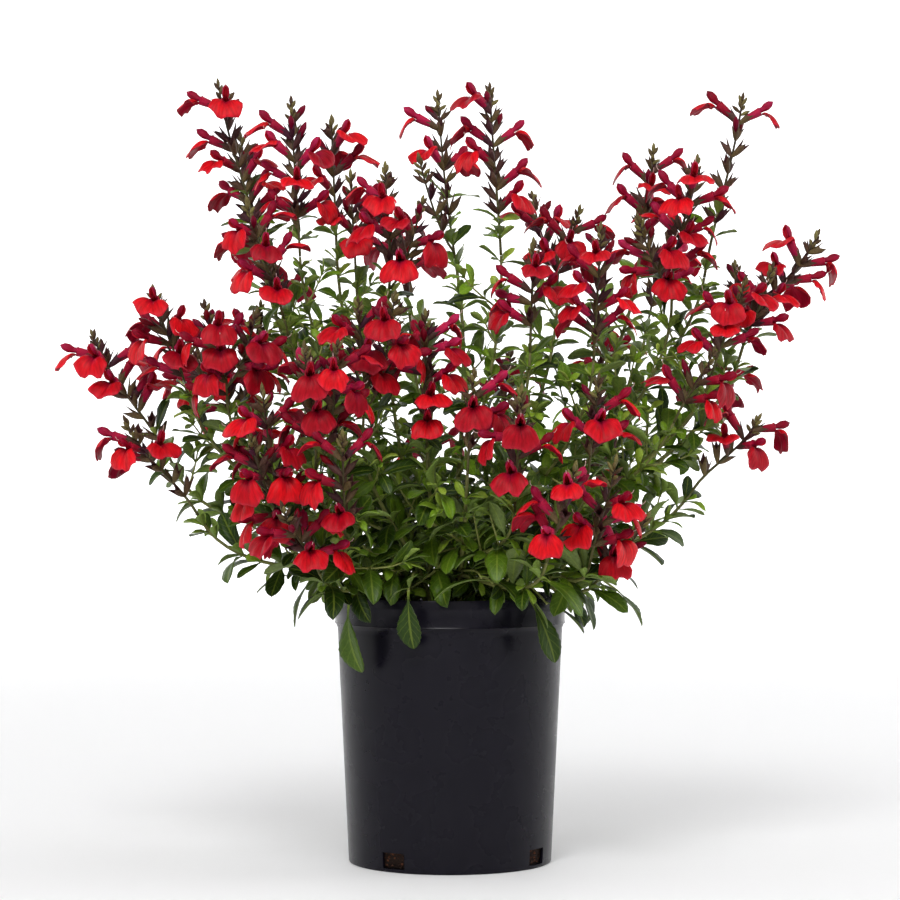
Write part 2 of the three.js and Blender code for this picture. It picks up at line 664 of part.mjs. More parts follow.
function flowerSkin(skin, root, frame) {
  const put = (points) => addRing(skin, points.map((p) => place(frame, p)));
  const throat = put(THROAT_RING);
  zip(skin, root, throat);
  const [left, top, right, bottom] = throat;
  const [mouth, hood] = put([MOUTH, HOOD_TIP]);
  skin.faces.push([left, top, hood], [top, right, hood], [right, mouth, hood], [mouth, left, hood]);
  const rim = [right, ...put(bothSides(LIP)), left];
  for (let i = 1; i < rim.length; i++) {
    skin.faces.push([rim[i - 1], bottom, rim[i]], [rim[i - 1], rim[i], mouth]);
  }
}

function bladeSkin(skin, root, frame, outline, middle, thick) {
  const points = leafPoints(frame, outline, middle, thick);
  const rim = addRing(skin, points.rim);
  const [top, bottom] = addRing(skin, [points.top, points.bottom]);
  const corner = (p) => dot(skin.points[p], add(frame.y, frame.z));
  const start = root.reduce((best, p, i) => (corner(p) < corner(root[best]) ? i : best), 0);
  const [q0, q1, q2, q3] = root.map((_, i) => root[(i + start) % root.length]);
  const upper = [q3, ...rim, q2];
  const lower = [q0, ...rim, q1];
  for (let i = 0; i < upper.length; i++) {
    const next = (i + 1) % upper.length;
    skin.faces.push([top, upper[i], upper[next]], [bottom, lower[next], lower[i]]);
  }
  skin.faces.push([q3, q0, rim[0]], [q1, q2, rim[rim.length - 1]]);
}
const leafSkin = (skin, root, frame) => bladeSkin(skin, root, frame, LEAF, LEAF_MIDDLE, LEAF_THICKNESS);
const largeLeafSkin = (skin, root, frame) =>
  bladeSkin(skin, root, frame, LARGE_LEAF, LARGE_LEAF_MIDDLE, LARGE_LEAF_THICKNESS);

function calyxSkin(skin, root, frame) {
  const points = calyxPoints(frame);
  const teeth = addRing(skin, points.slice(0, 3));
  zip(skin, root, teeth);
  closeTo(skin, teeth, points[3]);
}

// The three corners of a stem's section at a distance along it, the first at the angle START.
const THIRD = (2 * Math.PI) / 3;
function sectionOf(stem, distance, start, radius = null) {
  const { at, way: along } = alongStem(stem, distance);
  const way = distance <= 0 ? stem.startWay : distance >= stem.total ? stem.endWay : along;
  const side = square(stem.side, way);
  const up = cross(way, side);
  const [r0, r1] = stem.kind.radius;
  const r = radius ?? r0 + ((r1 - r0) * distance) / stem.total;
  return [0, 1, 2].map((k) => {
    const angle = start + k * THIRD;
    return add(at, add(mul(side, r * Math.cos(angle)), mul(up, r * Math.sin(angle))));
  });
}

// The angle round the stem at which something leaves it.
function angleOf(stem, distance, out) {
  const { way } = alongStem(stem, distance);
  const side = square(stem.side, way);
  return Math.atan2(dot(out, cross(way, side)), dot(out, side));
}

// A node is a short step of the stem with three faces, each for one organ. It turns so that
// its faces look the way its organs go. Face k is k thirds of a turn past the node's angle.
const halfTurn = (angle) => angle - 2 * Math.PI * Math.round(angle / (2 * Math.PI));
function seat(node, organ, angle) {
  const off = halfTurn(angle - node.angle);
  if (Math.abs(off) < THIRD / 2) return false;
  const face = off > 0 ? 1 : 2;
  if (node.organs[face]) return false;
  if (!node.organs[1] && !node.organs[2]) node.angle += (off - Math.sign(off) * THIRD) / 2;
  node.organs[face] = organ;
  return true;
}

function nodesOf(stem, first) {
  const pitch = NODE_HALF * 2.6;
  const low = first + pitch / 2;
  const high = stem.total - pitch / 2;
  const nodes = [];
  for (const organ of stem.organs) {
    const wanted = Math.min(Math.max(organ.distance, low), high);
    for (const shift of [0, -1, 1, -2, 2, -3, 3]) {
      const distance = Math.min(Math.max(wanted + shift * pitch, low), high);
      const angle = angleOf(stem, distance, organ.out);
      const shared = nodes.find((node) => Math.abs(node.distance - distance) < pitch);
      if (!shared) nodes.push({ distance, angle, organs: [organ] });
      if (!shared || seat(shared, organ, angle)) break;
    }
  }
  return nodes.sort((a, b) => a.distance - b.distance);
}

// The skin of a stem with all that grows from it.
function growStem(skin, stem, root = null) {
  const first = root ? LEADER.radius[0] + 1.4 : 0;
  let start = 0;
  let ring = addRing(skin, sectionOf(stem, first, start));
  let reached = first;
  if (root) zip(skin, root, ring);
  else skin.faces.push([...ring].reverse());
  const growTo = (distance, organs = []) => {
    const next = addRing(skin, sectionOf(stem, distance, start));
    ring.forEach((p, k) => {
      const after = (k + 1) % 3;
      const organ = organs[k];
      if (!organ) skin.faces.push([ring[after], next[after], next[k], p]);
      else if (organ.stem) growStem(skin, organ.stem, [p, ring[after], next[after], next[k]]);
      else organ.build(skin, [p, ring[after], next[after], next[k]], organ.frame);
    });
    ring = next;
    reached = distance;
  };
  const reachOut = (distance) => {
    const steps = Math.ceil((distance - reached) / LONGEST_STEP);
    const from = reached;
    for (let i = 1; i <= steps; i++) growTo(from + ((distance - from) * i) / steps);
  };
  if (stem.kind === LEADER) growTo(stem.runs[1]);
  for (const node of nodesOf(stem, first)) {
    const wanted = node.angle - THIRD / 2;
    const thirds = Math.ceil((start - wanted) / THIRD);
    const before = node.distance - NODE_HALF;
    if (before - reached > LONGEST_STEP) reachOut((before + reached) / 2);
    start = wanted + thirds * THIRD;
    reachOut(before);
    growTo(node.distance + NODE_HALF, [0, 1, 2].map((k) => node.organs[(((k + thirds) % 3) + 3) % 3]));
  }
  reachOut(stem.total);
  finishStem(skin, stem, ring, start);
}

// A spike ends in a bud, a twig in a point, and a fork is flat where its spike begins.
function finishStem(skin, stem, ring, start) {
  const end = stem.points[stem.points.length - 1];
  const past = (distance) => add(end, mul(stem.endWay, distance));
  if (stem.kind === RACHIS) {
    const belly = sectionOf(stem, stem.total, start, BUD_RADIUS);
    const bud = addRing(skin, belly.map((p) => add(p, mul(stem.endWay, BUD_LENGTH * 0.4))));
    zip(skin, ring, bud);
    closeTo(skin, bud, past(BUD_LENGTH));
  } else if (stem.kind === TWIG) closeTo(skin, ring, past(TWIG.radius[1] * 3));
  else skin.faces.push(ring);
}

function plantSolid(node) {
  const skin = { points: [], faces: [] };
  growStem(skin, node.stems[0]);
  return solidFrom(skin.points, skin.faces);
}

function geometryOf(solid) {
  const mesh = solid.getMesh();
  const geometry = new THREE.BufferGeometry();
  geometry.setAttribute('position', new THREE.BufferAttribute(new Float32Array(mesh.vertProperties), 3));
  geometry.setIndex(new THREE.BufferAttribute(new Uint32Array(mesh.triVerts), 1));
  geometry.computeVertexNormals();
  return geometry;
}

function solidOf(geometry) {
  const bare = geometry.clone();
  bare.deleteAttribute('normal');
  bare.deleteAttribute('uv');
  const merged = mergeVertices(bare);
  const position = merged.attributes.position.array;
  const points = [];
  for (let i = 0; i < position.length; i += 3) points.push([position[i], position[i + 1], position[i + 2]]);
  const faces = [];
  for (let i = 0; i < merged.index.count; i += 3) {
    faces.push([merged.index.array[i], merged.index.array[i + 1], merged.index.array[i + 2]]);
  }
  const whole = faces.filter(([a, b, c]) => a !== b && b !== c && c !== a);
  return solidFrom(points, whole);
}

// ---------------------------------------------------------------- the whole plant
const twoDigits = (n) => String(n).padStart(2, '0');
const shoots = SHOOTS.map((plan, i) => ({
  name: `shoot_${twoDigits(i + 1)}`, stems: shootStems(plan), leaves: [], largeLeaves: [],
}));
const spikes = SHOOTS.flatMap((plan) => plan.bunches).map((bunch, i) => ({
  name: `spike_${twoDigits(i + 1)}`,
  stems: spikeStems(bunch),
  texts: bunch.slice(1).map((spike) => spike[1]),
  flowers: [],
  calyces: [],
}));
[...shoots, ...spikes].forEach((node) => node.stems.forEach((stem) => claim(stem, stemBoxes(stem))));
spikes.forEach(addFlowers);
shoots.forEach(addDrapes);
shoots.forEach(addTwigs);
shoots.forEach(addLeaves);
spikes.forEach(addCalyces);

// ---------------------------------------------------------------- pot and soil
const wallSlope = (POT_TOP_RADIUS - POT_BASE_RADIUS) / (POT_HEIGHT - RIM_HEIGHT);
const innerRadius = (z) => POT_BASE_RADIUS - POT_WALL + wallSlope * z;

function lathe(profile, segments) {
  const outline = profile.map(([r, z]) => new THREE.Vector2(r, z));
  return solidOf(new THREE.LatheGeometry(outline, segments).rotateX(Math.PI / 2));
}

function potSolid() {
  const band = POT_HEIGHT - RIM_HEIGHT;
  const bead = POT_HEIGHT - BEAD_DROP;
  const chamfer = 1.2;
  const pot = lathe([
    [0, 0], [POT_BASE_RADIUS - chamfer, 0], [POT_BASE_RADIUS, chamfer],
    [POT_TOP_RADIUS, band], [RIM_RADIUS, band + 0.6],
    [RIM_RADIUS, bead - 1], [RIM_RADIUS + BEAD_PROUD, bead], [RIM_RADIUS, bead + 1],
    [RIM_RADIUS, POT_HEIGHT - 0.8], [RIM_RADIUS - 0.8, POT_HEIGHT],
    [RIM_RADIUS - POT_WALL - 0.4, POT_HEIGHT],
    [innerRadius(band), band],
    [innerRadius(POT_FLOOR), POT_FLOOR], [0, POT_FLOOR],
  ], POT_SEGMENTS);
  const cut = new THREE.BoxGeometry(30, WINDOW_WIDTH, WINDOW_TOP - POT_FLOOR - 0.2);
  cut.translate(POT_BASE_RADIUS, 0, (WINDOW_TOP + POT_FLOOR + 0.2) / 2);
  const windows = [0, 90, 180, 270].map((turn) => {
    const turned = cut.clone().rotateZ(radians(WINDOW_FIRST_ANGLE + turn));
    return solidOf(turned);
  });
  return pot.subtract(wasm.Manifold.union(windows));
}

function soilSolid() {
  const edge = innerRadius(SOIL_EDGE) - GAP - 0.4;
  const soil = lathe([
    [0, POT_FLOOR + GAP], [innerRadius(POT_FLOOR) - GAP - 0.4, POT_FLOOR + GAP], [edge, SOIL_EDGE],
    [edge - 12, SOIL_TOP - 2], [edge * 0.5, SOIL_TOP], [0, SOIL_TOP + 1],
  ], SOIL_SEGMENTS);
  const holes = shoots.map(({ stems: [leader] }) => {
    const radius = LEADER.radius[0] + GAP * 1.6;
    const skin = { points: [], faces: [] };
    const low = addRing(skin, sectionOf(leader, 0, 0, radius).map((p) => sub(p, mul(UP, GAP))));
    const high = addRing(skin, sectionOf(leader, 0, 0, radius).map((p) => add(p, mul(UP, ROOT_DEPTH + 4))));
    skin.faces.push([...low].reverse(), high);
    zip(skin, low, high);
    return solidFrom(skin.points, skin.faces);
  });
  return soil.subtract(wasm.Manifold.union(holes));
}

// ---------------------------------------------------------------- the group
const materials = {
  pot: new THREE.MeshStandardMaterial({ color: '#26252a', roughness: 0.42, metalness: 0 }),
  soil: new THREE.MeshStandardMaterial({ color: '#3a2b20', roughness: 1, metalness: 0 }),
  foliage: new THREE.MeshStandardMaterial({ color: '#4a6428', roughness: 0.6, metalness: 0 }),
  bloom: new THREE.MeshStandardMaterial({ color: '#d01a24', roughness: 0.55, metalness: 0 }),
};

const group = new THREE.Group();
function addNode(name, solid, material) {
  const mesh = new THREE.Mesh(geometryOf(solid), material);
  mesh.name = name;
  group.add(mesh);
}

addNode('pot', potSolid(), materials.pot);
addNode('soil', soilSolid(), materials.soil);
shoots.forEach((shoot) => addNode(shoot.name, plantSolid(shoot), materials.foliage));
spikes.forEach((spike) => addNode(spike.name, plantSolid(spike), materials.bloom));

export default group;
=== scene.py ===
"""The looks of a perennial salvia in its nursery pot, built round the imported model.

The layout of the plant is worked out in millimetres by the same rules as the solids, so that
each fine organ sits where its solid does. Meshes are turned into metres as they are made.
"""
import math
import re
from collections import namedtuple
from functools import lru_cache

import bpy
import numpy as np
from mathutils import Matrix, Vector


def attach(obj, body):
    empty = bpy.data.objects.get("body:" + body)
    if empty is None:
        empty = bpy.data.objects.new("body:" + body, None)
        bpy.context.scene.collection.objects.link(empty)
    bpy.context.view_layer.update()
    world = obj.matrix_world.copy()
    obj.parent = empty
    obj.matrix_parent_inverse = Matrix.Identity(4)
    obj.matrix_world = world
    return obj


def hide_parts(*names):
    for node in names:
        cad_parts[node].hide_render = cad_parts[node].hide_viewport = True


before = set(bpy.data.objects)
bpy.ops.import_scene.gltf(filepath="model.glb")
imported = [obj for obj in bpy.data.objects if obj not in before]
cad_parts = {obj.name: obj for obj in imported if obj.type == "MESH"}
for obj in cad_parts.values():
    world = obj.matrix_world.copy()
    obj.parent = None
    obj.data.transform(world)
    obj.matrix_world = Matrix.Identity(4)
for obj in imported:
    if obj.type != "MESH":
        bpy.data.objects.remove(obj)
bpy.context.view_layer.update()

MM = 0.001

# ---- driving dimensions, in millimetres
POT_HEIGHT = 193.5
POT_BASE_RADIUS = 73.6
POT_TOP_RADIUS = 81.8  # the wall just under the rim band
POT_WALL = 1.8
POT_FLOOR = 2.4
RIM_HEIGHT = 23
RIM_RADIUS = 83.6
BEAD_DROP = 6.5  # the bead line, below the pot's mouth
WINDOW_WIDTH = 18
WINDOW_TOP = 14
WINDOW_FIRST_ANGLE = -123  # degrees from +X, the other three are 90 degrees apart
GAP = 0.3

SOIL_TOP = 172
SOIL_EDGE = 166
ROOT_DEPTH = 25  # how far the stems stand in the soil

# The radius at the foot and top, and the steps of the curve.
LEADER = {"radius": (2.8, 1.4), "steps": 7}
BRANCH = {"radius": (1.8, 1.3), "steps": 5}
TWIG = {"radius": (1.3, 0.9), "steps": 3}
RACHIS = {"radius": (1.3, 0.9), "steps": 4}
SLIM = 0.78  # a fine stem's radius over that of its three-sided solid

PAIR_SPACING = 108  # between the pairs of leaves that the solids have
TWIG_PAIR_SPACING = 44
LEAF_LENGTH = (16, 25)
LEAF_SLENDERNESS = 0.4  # width over length
LEAF_THICKNESS = 1.2
LARGE_LEAF_THICKNESS = 1.5
SPIKE_NODE = 8  # flowers sit at multiples of this below the tip
CALYX_STRIDE = 7
CALYX_LENGTH = 11
BUD_LENGTH = 8

# ---- the plant's plan
# Each shoot is one stem from the soil with its forks. A bunch is where a stem ends and one to
# three flower spikes begin: [base, [tip, flowers], ...]. A flower is a heading, with F for front,
# and the distance of its foot below the spike's tip. The first stem ends at the first bunch, and
# forks say how far up it, as a share, the stem of each later bunch leaves it.
SHOOTS = [
    {"root": [-24, 6], "forks": [0.55, 0.4], "bunches": [
        [[-138, 12, 440], [[-170, 20, 565], "L18 F24 L50 FL61 FR72 BL84 F86 FR98"], [[-156, 50, 530], ""]],
        [[-108, -25, 438], [[-114, -30, 546], "L20 FL39 FR48 L56 F64 L77 F80"]],
        [[-118, -50, 392], [[-143, -62, 472], "FL23 R26 L34 F40 R48 FL52 F68"]],
    ]},
    {"root": [-14, -4], "forks": [0.35, 0.6], "bunches": [
        [[-84, 30, 450], [[-88, 42, 542], "FR20 R26 R41 FL56"]],
        [[-44, -42, 408], [[-46, -50, 497], "L20 F33 R46 FL48"], [[-20, -72, 472], "FL22 FR33 F47"]],
        [[-68, -6, 418], [[-72, -10, 495], "F20 R32 FL42 F59"]],
    ]},
    {"root": [0, 8], "forks": [0.45], "bunches": [
        [[4, 36, 440], [[-9, 60, 562], "L27 FL53 R55"], [[-22, 22, 511], ""]],
        [[37, -8, 440], [[29, -10, 559], "FL13 R41 L42 FL58 R74 FR85"]],
    ]},
    {"root": [10, -4], "forks": [0.4, 0.3], "bunches": [
        [[80, 40, 425], [[95, 30, 474], "R18 L22 F34 FL50 R46"], [[63, 92, 491], "L30 F44"]],
        [[57, -48, 368], [[59, -60, 442], "F24 L30 FR41 FL43 L55"]],
        [[101, -72, 362], [[105, -90, 451], "F22 L31 FL46 FR57 FL61 R71 L72"]],
    ]},
    {"root": [20, 6], "forks": [0.35, 0.55], "bunches": [
        [[140, 34, 440], [[151, 42, 520], "R19 L22 F36 R36 FL50 FR60"]],
        [[160, -20, 408], [[178, -20, 506], "F25 R30 L34 FL42 L52 R54 FR66 F82"],
         [[135, -42, 462], "FR28 FL31 L40 F46"]],
        [[186, 8, 425], [[214, 10, 554], "L12 R17"]],
    ]},
    {"root": [28, -6], "forks": [0.5, 0.4, 0.25], "bunches": [
        [[214, 4, 375], [[268, 10, 454], "R24 FL26 R36 F38 R50 FR60 F72"], [[231, -30, 428], "L25 FL38 F46"],
         [[214, 60, 436], ""]],
        [[186, -48, 352], [[208, -62, 416], "FR19 F24 L33 F37 R50 FL58"]],
        [[158, -62, 318], [[184, -76, 366], "FR25 L36 FR42"]],
        [[172, -36, 268], [[219, -42, 319], "R10 L18 FR20 FL29 F34"]],
    ]},
    {"root": [-32, -4], "forks": [0.6, 0.35, 0.45, 0.3], "bunches": [
        [[-190, -30, 345], [[-211, -44, 411], "F18 FR28 FL34 L42 F54 FL66"]],
        [[-158, -58, 338], [[-172, -72, 399], "F20 R30 FL34 L40 F52 R60 FL70"],
         [[-136, -84, 392], "FL20 F30 FR40 R48"]],
        [[-150, 28, 318], [[-140, 24, 403], "FL26 FR36 L44 R54 F56"],
         [[-196, 42, 372], "L24 F27 L40 FR40 R54 FL58"]],
        [[-200, 2, 284], [[-260, 2, 381], "L12 FL22 FR24 R37 F46 FR56 R64"]],
        [[-178, -46, 250], [[-228, -62, 317], "L12 FL22 L30 F34"]],
    ]},
    {"root": [-10, -18], "forks": [0.4, 0.3], "bunches": [
        [[-60, -98, 322], [[-63, -120, 398], "R16 FL24 R32 F38 L50 FR54 F66"],
         [[-38, -128, 402], "F20 FL30 R36 F44 L56"]],
        [[-92, -120, 285], [[-98, -152, 365], "F22 L26 FR34 R44 F48 R60 L65"],
         [[-76, -156, 368], "R18 F26 FL34 F46"]],
        [[-16, -88, 300], [[-17, -112, 390], "R12 L22 FR26 FL39 FR51 F64 F80"]],
    ]},
    {"root": [-20, -22], "forks": [0.58, 0.46], "bunches": [
        [[-116, -104, 248], [[-128, -126, 337], "FL20 R24 F30 R34 L40 FR46 L54 F58"],
         [[-134, -150, 306], "L22 F30 R37 FL45 FR54 F60 FL68"]],
        [[-72, -122, 240], [[-72, -166, 306], "R14 L17 FL40 F60"]],
        [[-90, -112, 214], [[-112, -154, 258], "L21 F27 R30 F36 FL40 L48 FR50"]],
    ]},
    {"root": [6, -22], "forks": [0.55, 0.42], "bunches": [
        [[12, -112, 282], [[16, -142, 348], "R15 F20 FR34 R44"]],
        [[44, -124, 256], [[48, -162, 336], "F21 L33 R44 F64"]],
        [[66, -132, 222], [[83, -180, 286], "F17 R34 L44 F56 FL66"]],
    ]},
    {"root": [22, -20], "forks": [0.55, 0.44], "bunches": [
        [[96, -94, 280], [[102, -118, 345], "R20 F28 FL40 R44"]],
        [[96, -108, 218], [[112, -142, 289], "F34 L41 R50 FL56 F66"]],
        [[104, -78, 208], [[136, -96, 250], "L28 F40 L50"]],
    ]},
    {"root": [-14, 20], "forks": [0.5, 0.35], "bunches": [
        [[-122, 105, 388], [[-148, 130, 468], "BL18 B30 L42 BR52"]],
        [[-158, 88, 318], [[-204, 108, 390], "L16 BL28 B44"]],
        [[-86, 140, 290], [[-95, 186, 398], "B18 BR30 BL40"], [[-132, 190, 310], "BL18 B32"]],
    ]},
    {"root": [2, 24], "forks": [0.3, 0.4], "bunches": [
        [[-30, 108, 392], [[-40, 130, 480], "B20 BL34 BR44"]],
        [[-14, 160, 262], [[-20, 208, 325], "B18 BR32 BL42"]],
        [[38, 140, 300], [[48, 176, 375], "B16 R30 BL38"]],
    ]},
    {"root": [16, 20], "forks": [0.35, 0.45], "bunches": [
        [[150, 98, 390], [[170, 122, 470], "BR20 B32 R44"]],
        [[104, 124, 270], [[122, 158, 400], "B18 R28 BL40"], [[134, 186, 306], "B18 BR30"]],
        [[165, 80, 298], [[212, 98, 368], "R16 BR30 B42"]],
    ]},
]

# Large leaves that hang outside the pot's rim on low twigs:
# [shoot, height where the twig leaves its stem, end of the twig, way the leaf points, length, width]
DRAPES = [
    [8, 214, [-70, -64, 190], [0.06, -0.12, -1], 40, 19],
    [7, 212, [-29, -93, 201], [0.04, -0.1, -1], 33, 15],
    [10, 217, [55, -80, 195], [0.4, -0.1, -1], 40, 15],
    [10, 204, [90, -50, 205], [0.35, -0.1, -1], 30, 9],
    [8, 226, [-98, -36, 208], [-0.35, -0.1, -1], 31, 12],
    [6, 222, [-110, -20, 208], [-1, -0.25, -0.25], 27, 12],
    [9, 203, [30, -90, 206], [-1, -0.3, -0.05], 34, 10],
    [9, 214, [22, -96, 210], [0.8, -0.5, -0.3], 30, 13],
    [10, 210, [68, -76, 191], [0.8, -0.2, -0.6], 28, 12],
    [10, 232, [118, -66, 200], [0.6, -0.2, -0.8], 26, 13],
    [5, 224, [112, -8, 216], [0.9, 0.1, -0.5], 26, 11],
    [11, 220, [-60, 82, 210], [-0.4, 0.8, -0.6], 30, 12],
    [12, 214, [6, 100, 210], [0.1, 0.7, -0.8], 30, 12],
    [13, 222, [72, 74, 210], [0.5, 0.6, -0.7], 30, 12],
]

# ---- vectors
def vec(*numbers):
    return np.array(numbers, float)


RIGHT, BACK, UP = np.eye(3)


def dot(a, b):
    return (a * b).sum(-1, keepdims=True)


def length(a):
    return math.sqrt(a @ a)


def unit(a):
    return a / np.sqrt(dot(a, a))


def square(direction, to):
    """The part of a direction that is square to another one."""
    return unit(direction - to * dot(direction, to))


def between(a, b, angle):
    """The direction at an angle, in degrees, from one direction towards another."""
    return a * math.cos(math.radians(angle)) + b * math.sin(math.radians(angle))


def mix(a, b, t):
    return a * (1 - t) + b * t


# ---- even, repeatable variation
WORD = 0xFFFFFFFF

# Each kind of organ has its own range of keys, and adds small numbers to one to draw several.
KEYS = {
    "bloom": 3000, "bud": 5000, "spent calyx": 9000, "twig": 10000, "leaf": 200000,
    "fine leaf": 400000, "spike leaf": 600000, "fine calyx": 700000, "crumb": 800000,
    "window crumb": 900000, "side twig": 1000000, "rim twig": 1500000,
}


def noise(key):
    """A number from 0 to 1 that depends only on the whole number given."""
    t = (key + 1) * 0x9E3779B1 & WORD
    t = (t ^ t >> 15) * (t | 1) & WORD
    t ^= t + (t ^ t >> 7) * (t | 61) & WORD
    return (t ^ t >> 14) / 2**32


def spread(key, reach):
    return (noise(key) * 2 - 1) * reach


# ---- stems
STEM_FOOT = SOIL_TOP + 4  # where the curve of a main stem begins
OUTWARD = 0.7  # how much it leans towards its end there
BUNCH_RISE = 0.3  # how much more upright a stem is at its end than its spikes
TIP_RISE = 0.5  # the same for a spike
FORK_LEAN = 0.7  # how much a fork keeps to its parent's way where it begins
SPIKE_FORK = 5  # from the foot of a bunch to its first fork
SPIKE_FORK_STEP = 6


def bezier(handles, t):
    a, b, c, d = handles
    s = 1 - t
    return a * s**3 + b * 3 * s**2 * t + c * 3 * s * t**2 + d * t**3


def bezier_way(handles, t):
    a, b, c, d = handles
    s = 1 - t
    return unit((b - a) * s**2 + (c - b) * 2 * s * t + (d - c) * t**2)


class Stem:
    """A stem: its smooth curve, and the straight steps along it that its solid has."""

    def __init__(self, kind, start, start_way, end, end_way, pull=0.38, below=None):
        span = length(end - start)
        self.kind = kind
        self.handles = [start, start + start_way * span * pull, end - end_way * span * 0.38, end]
        self.lead = 0 if below is None else 1
        curve = [bezier(self.handles, i / kind["steps"]) for i in range(kind["steps"] + 1)]
        self.points = np.array(([] if below is None else [below]) + curve)
        steps = np.sqrt((np.diff(self.points, axis=0) ** 2).sum(1))
        self.runs = np.concatenate([[0], np.cumsum(steps)])
        self.total = self.runs[-1]
        chord = end - start
        flat = math.hypot(chord[0], chord[1])
        self.side = vec(-chord[1] / flat, chord[0] / flat, 0) if flat > 1 else vec(1, 0, 0)
        self.end_way = end_way
        self.shift = vec(0, 0, 0)  # from the parent's straight steps to its smooth curve

    def step_at(self, distance):
        d = np.clip(distance, 0, self.total)
        i = 1 + np.searchsorted(self.runs[1:-1], d, side="left")
        return i, ((d - self.runs[i - 1]) / (self.runs[i] - self.runs[i - 1]))[..., None]

    def along(self, distance):
        """The place and the way at a distance along the straight steps."""
        i, t = self.step_at(distance)
        return mix(self.points[i - 1], self.points[i], t), unit(self.points[i] - self.points[i - 1])

    def curve(self, distance):
        """The place and the way at the same distance on the smooth curve."""
        i, t = self.step_at(distance)
        u = (np.asarray(i)[..., None] - 1 - self.lead + t) / self.kind["steps"]
        on = np.maximum(u, 0)
        at = bezier(self.handles, on) + self.shift * (1 - on) ** 2
        lead = mix(self.points[0], self.points[1], t)
        way = np.where(u < 0, unit(self.points[1] - self.points[0]), bezier_way(self.handles, on))
        return np.where(u < 0, lead, at), way

    def sides(self, way):
        """Two directions square to the way and to each other."""
        side = square(self.side, way)
        return side, np.cross(way, side)


def distance_at_height(stem, height):
    distance = 0
    while distance < stem.total and stem.along(distance)[0][2] < height:
        distance += 1
    return distance


def bunch_way(bunch):
    middle = np.mean([spike[0] for spike in bunch[1:]], axis=0)
    return unit(unit(middle - vec(*bunch[0])) + UP * BUNCH_RISE)


def fork_stem(kind, parent, distance, end, end_way, pull=0.22):
    """A stem that leaves another one sideways, towards its own end."""
    at, way = parent.along(distance)
    start_way = unit(square(end - at, way) + way * FORK_LEAN)
    stem = Stem(kind, at, start_way, end, end_way, pull)
    stem.shift = parent.curve(distance)[0] - at
    return stem


def shoot_stems(shoot):
    """The forked stem of one shoot. Its first fork ends at the first bunch."""
    foot = vec(*shoot["root"], STEM_FOOT)
    bunches = shoot["bunches"]
    base = vec(*bunches[0][0])
    outward = vec(base[0] - foot[0], base[1] - foot[1], 0)
    start_way = unit(UP + outward * (OUTWARD / max(length(base - foot), 1)))
    below = vec(foot[0], foot[1], SOIL_TOP - ROOT_DEPTH)
    leader = Stem(LEADER, foot, start_way, base, bunch_way(bunches[0]), below=below)
    forks = [
        fork_stem(BRANCH, leader, leader.total * fork, vec(*bunch[0]), bunch_way(bunch))
        for fork, bunch in zip(shoot["forks"], bunches[1:])
    ]
    return [leader, *forks]


def spike_end(start, tip):
    return unit(unit(tip - start) + UP * TIP_RISE)


def spike_stems(bunch):
    way = bunch_way(bunch)
    start = vec(*bunch[0]) + way * GAP
    tips = [vec(*spike[0]) for spike in bunch[1:]]
    first = Stem(RACHIS, start, way, tips[0], spike_end(start, tips[0]))
    rest = [
        fork_stem(RACHIS, first, SPIKE_FORK + i * SPIKE_FORK_STEP, tip, spike_end(start, tip))
        for i, tip in enumerate(tips[1:])
    ]
    return [first, *rest]


# ---- outlines of the solid organs
# Points are in the organ's own frame: x outwards, y sideways, z up.
RISE = 42  # how steeply a flower's tube climbs, in degrees


def mirror(points):
    return [(x, -y, z) for x, y, z in points]


THROAT = (15.6, 12.2)
THROAT_RADIUS = 3.4


def throat_ring():
    x, z = THROAT
    c = math.cos(math.radians(RISE)) * THROAT_RADIUS
    s = math.sin(math.radians(RISE)) * THROAT_RADIUS
    return [(x, THROAT_RADIUS, z), (x - s, 0, z + c), (x, -THROAT_RADIUS, z), (x + s, 0, z - c)]


MOUTH = (17.4, 0, 12.6)
HOOD_TIP = (24, 0, 20.5)
LIP = [(21.5, 11.6, 10.6), (28.8, 8.4, 3.2), (26.6, 0, 5.2)]
LEAF = [(0.3, 0.25, 0.05), (0.66, 0.5, 0.01), (1, 0, -0.12)]
LEAF_MIDDLE = (0.58, 0, 0.02)
LARGE_LEAF = [
    (0.16, 0.1, 0.02), (0.3, 0.33, 0.04), (0.36, 0.3, 0.045), (0.5, 0.49, 0.05), (0.55, 0.44, 0.045),
    (0.7, 0.5, 0.03), (0.74, 0.43, 0.02), (0.88, 0.32, -0.02), (1, 0, -0.07),
]
LARGE_LEAF_MIDDLE = (0.56, 0, 0.05)
CALYX_TEETH = [(1.12, 0.26, 0.72), (0.8, 0, 1), (1.12, -0.26, 0.72)]
CALYX_MOUTH = (0.86, 0, 0.68)


# ---- where an organ sits
class Frame:
    """A foot, three directions and three scales. The seat is the foot on the smooth curve."""

    def __init__(self, foot, out, up, scale, seat=None):
        self.foot = foot
        self.seat = foot if seat is None else seat
        self.x = unit(out)
        self.z = square(up, self.x)
        self.y = np.cross(self.z, self.x)
        self.scale = np.array(scale, float)

    def place(self, points):
        return self.foot + (np.array(points, float) * self.scale) @ np.array([self.x, self.y, self.z])

    def turned(self, points):
        """Points of an organ already at its real size, moved to its place on the smooth curve."""
        return self.seat + points @ np.array([self.x, self.y, self.z])


# A flower or calyx stands nearly square to its stem on the side that its heading gives.
SQUARENESS = 0.8


def flower_frame(stem, distance, heading, tilt, scale):
    at, way = stem.along(distance)
    flat = between(RIGHT, BACK, heading)
    level = unit(flat - way * (flat @ way) * SQUARENESS)
    return Frame(at, between(level, UP, tilt), UP, [scale] * 3, stem.curve(distance)[0])


# ---- room between the organs
SAFE = GAP / 2
Box = namedtuple("Box", "centre axes reach radius")


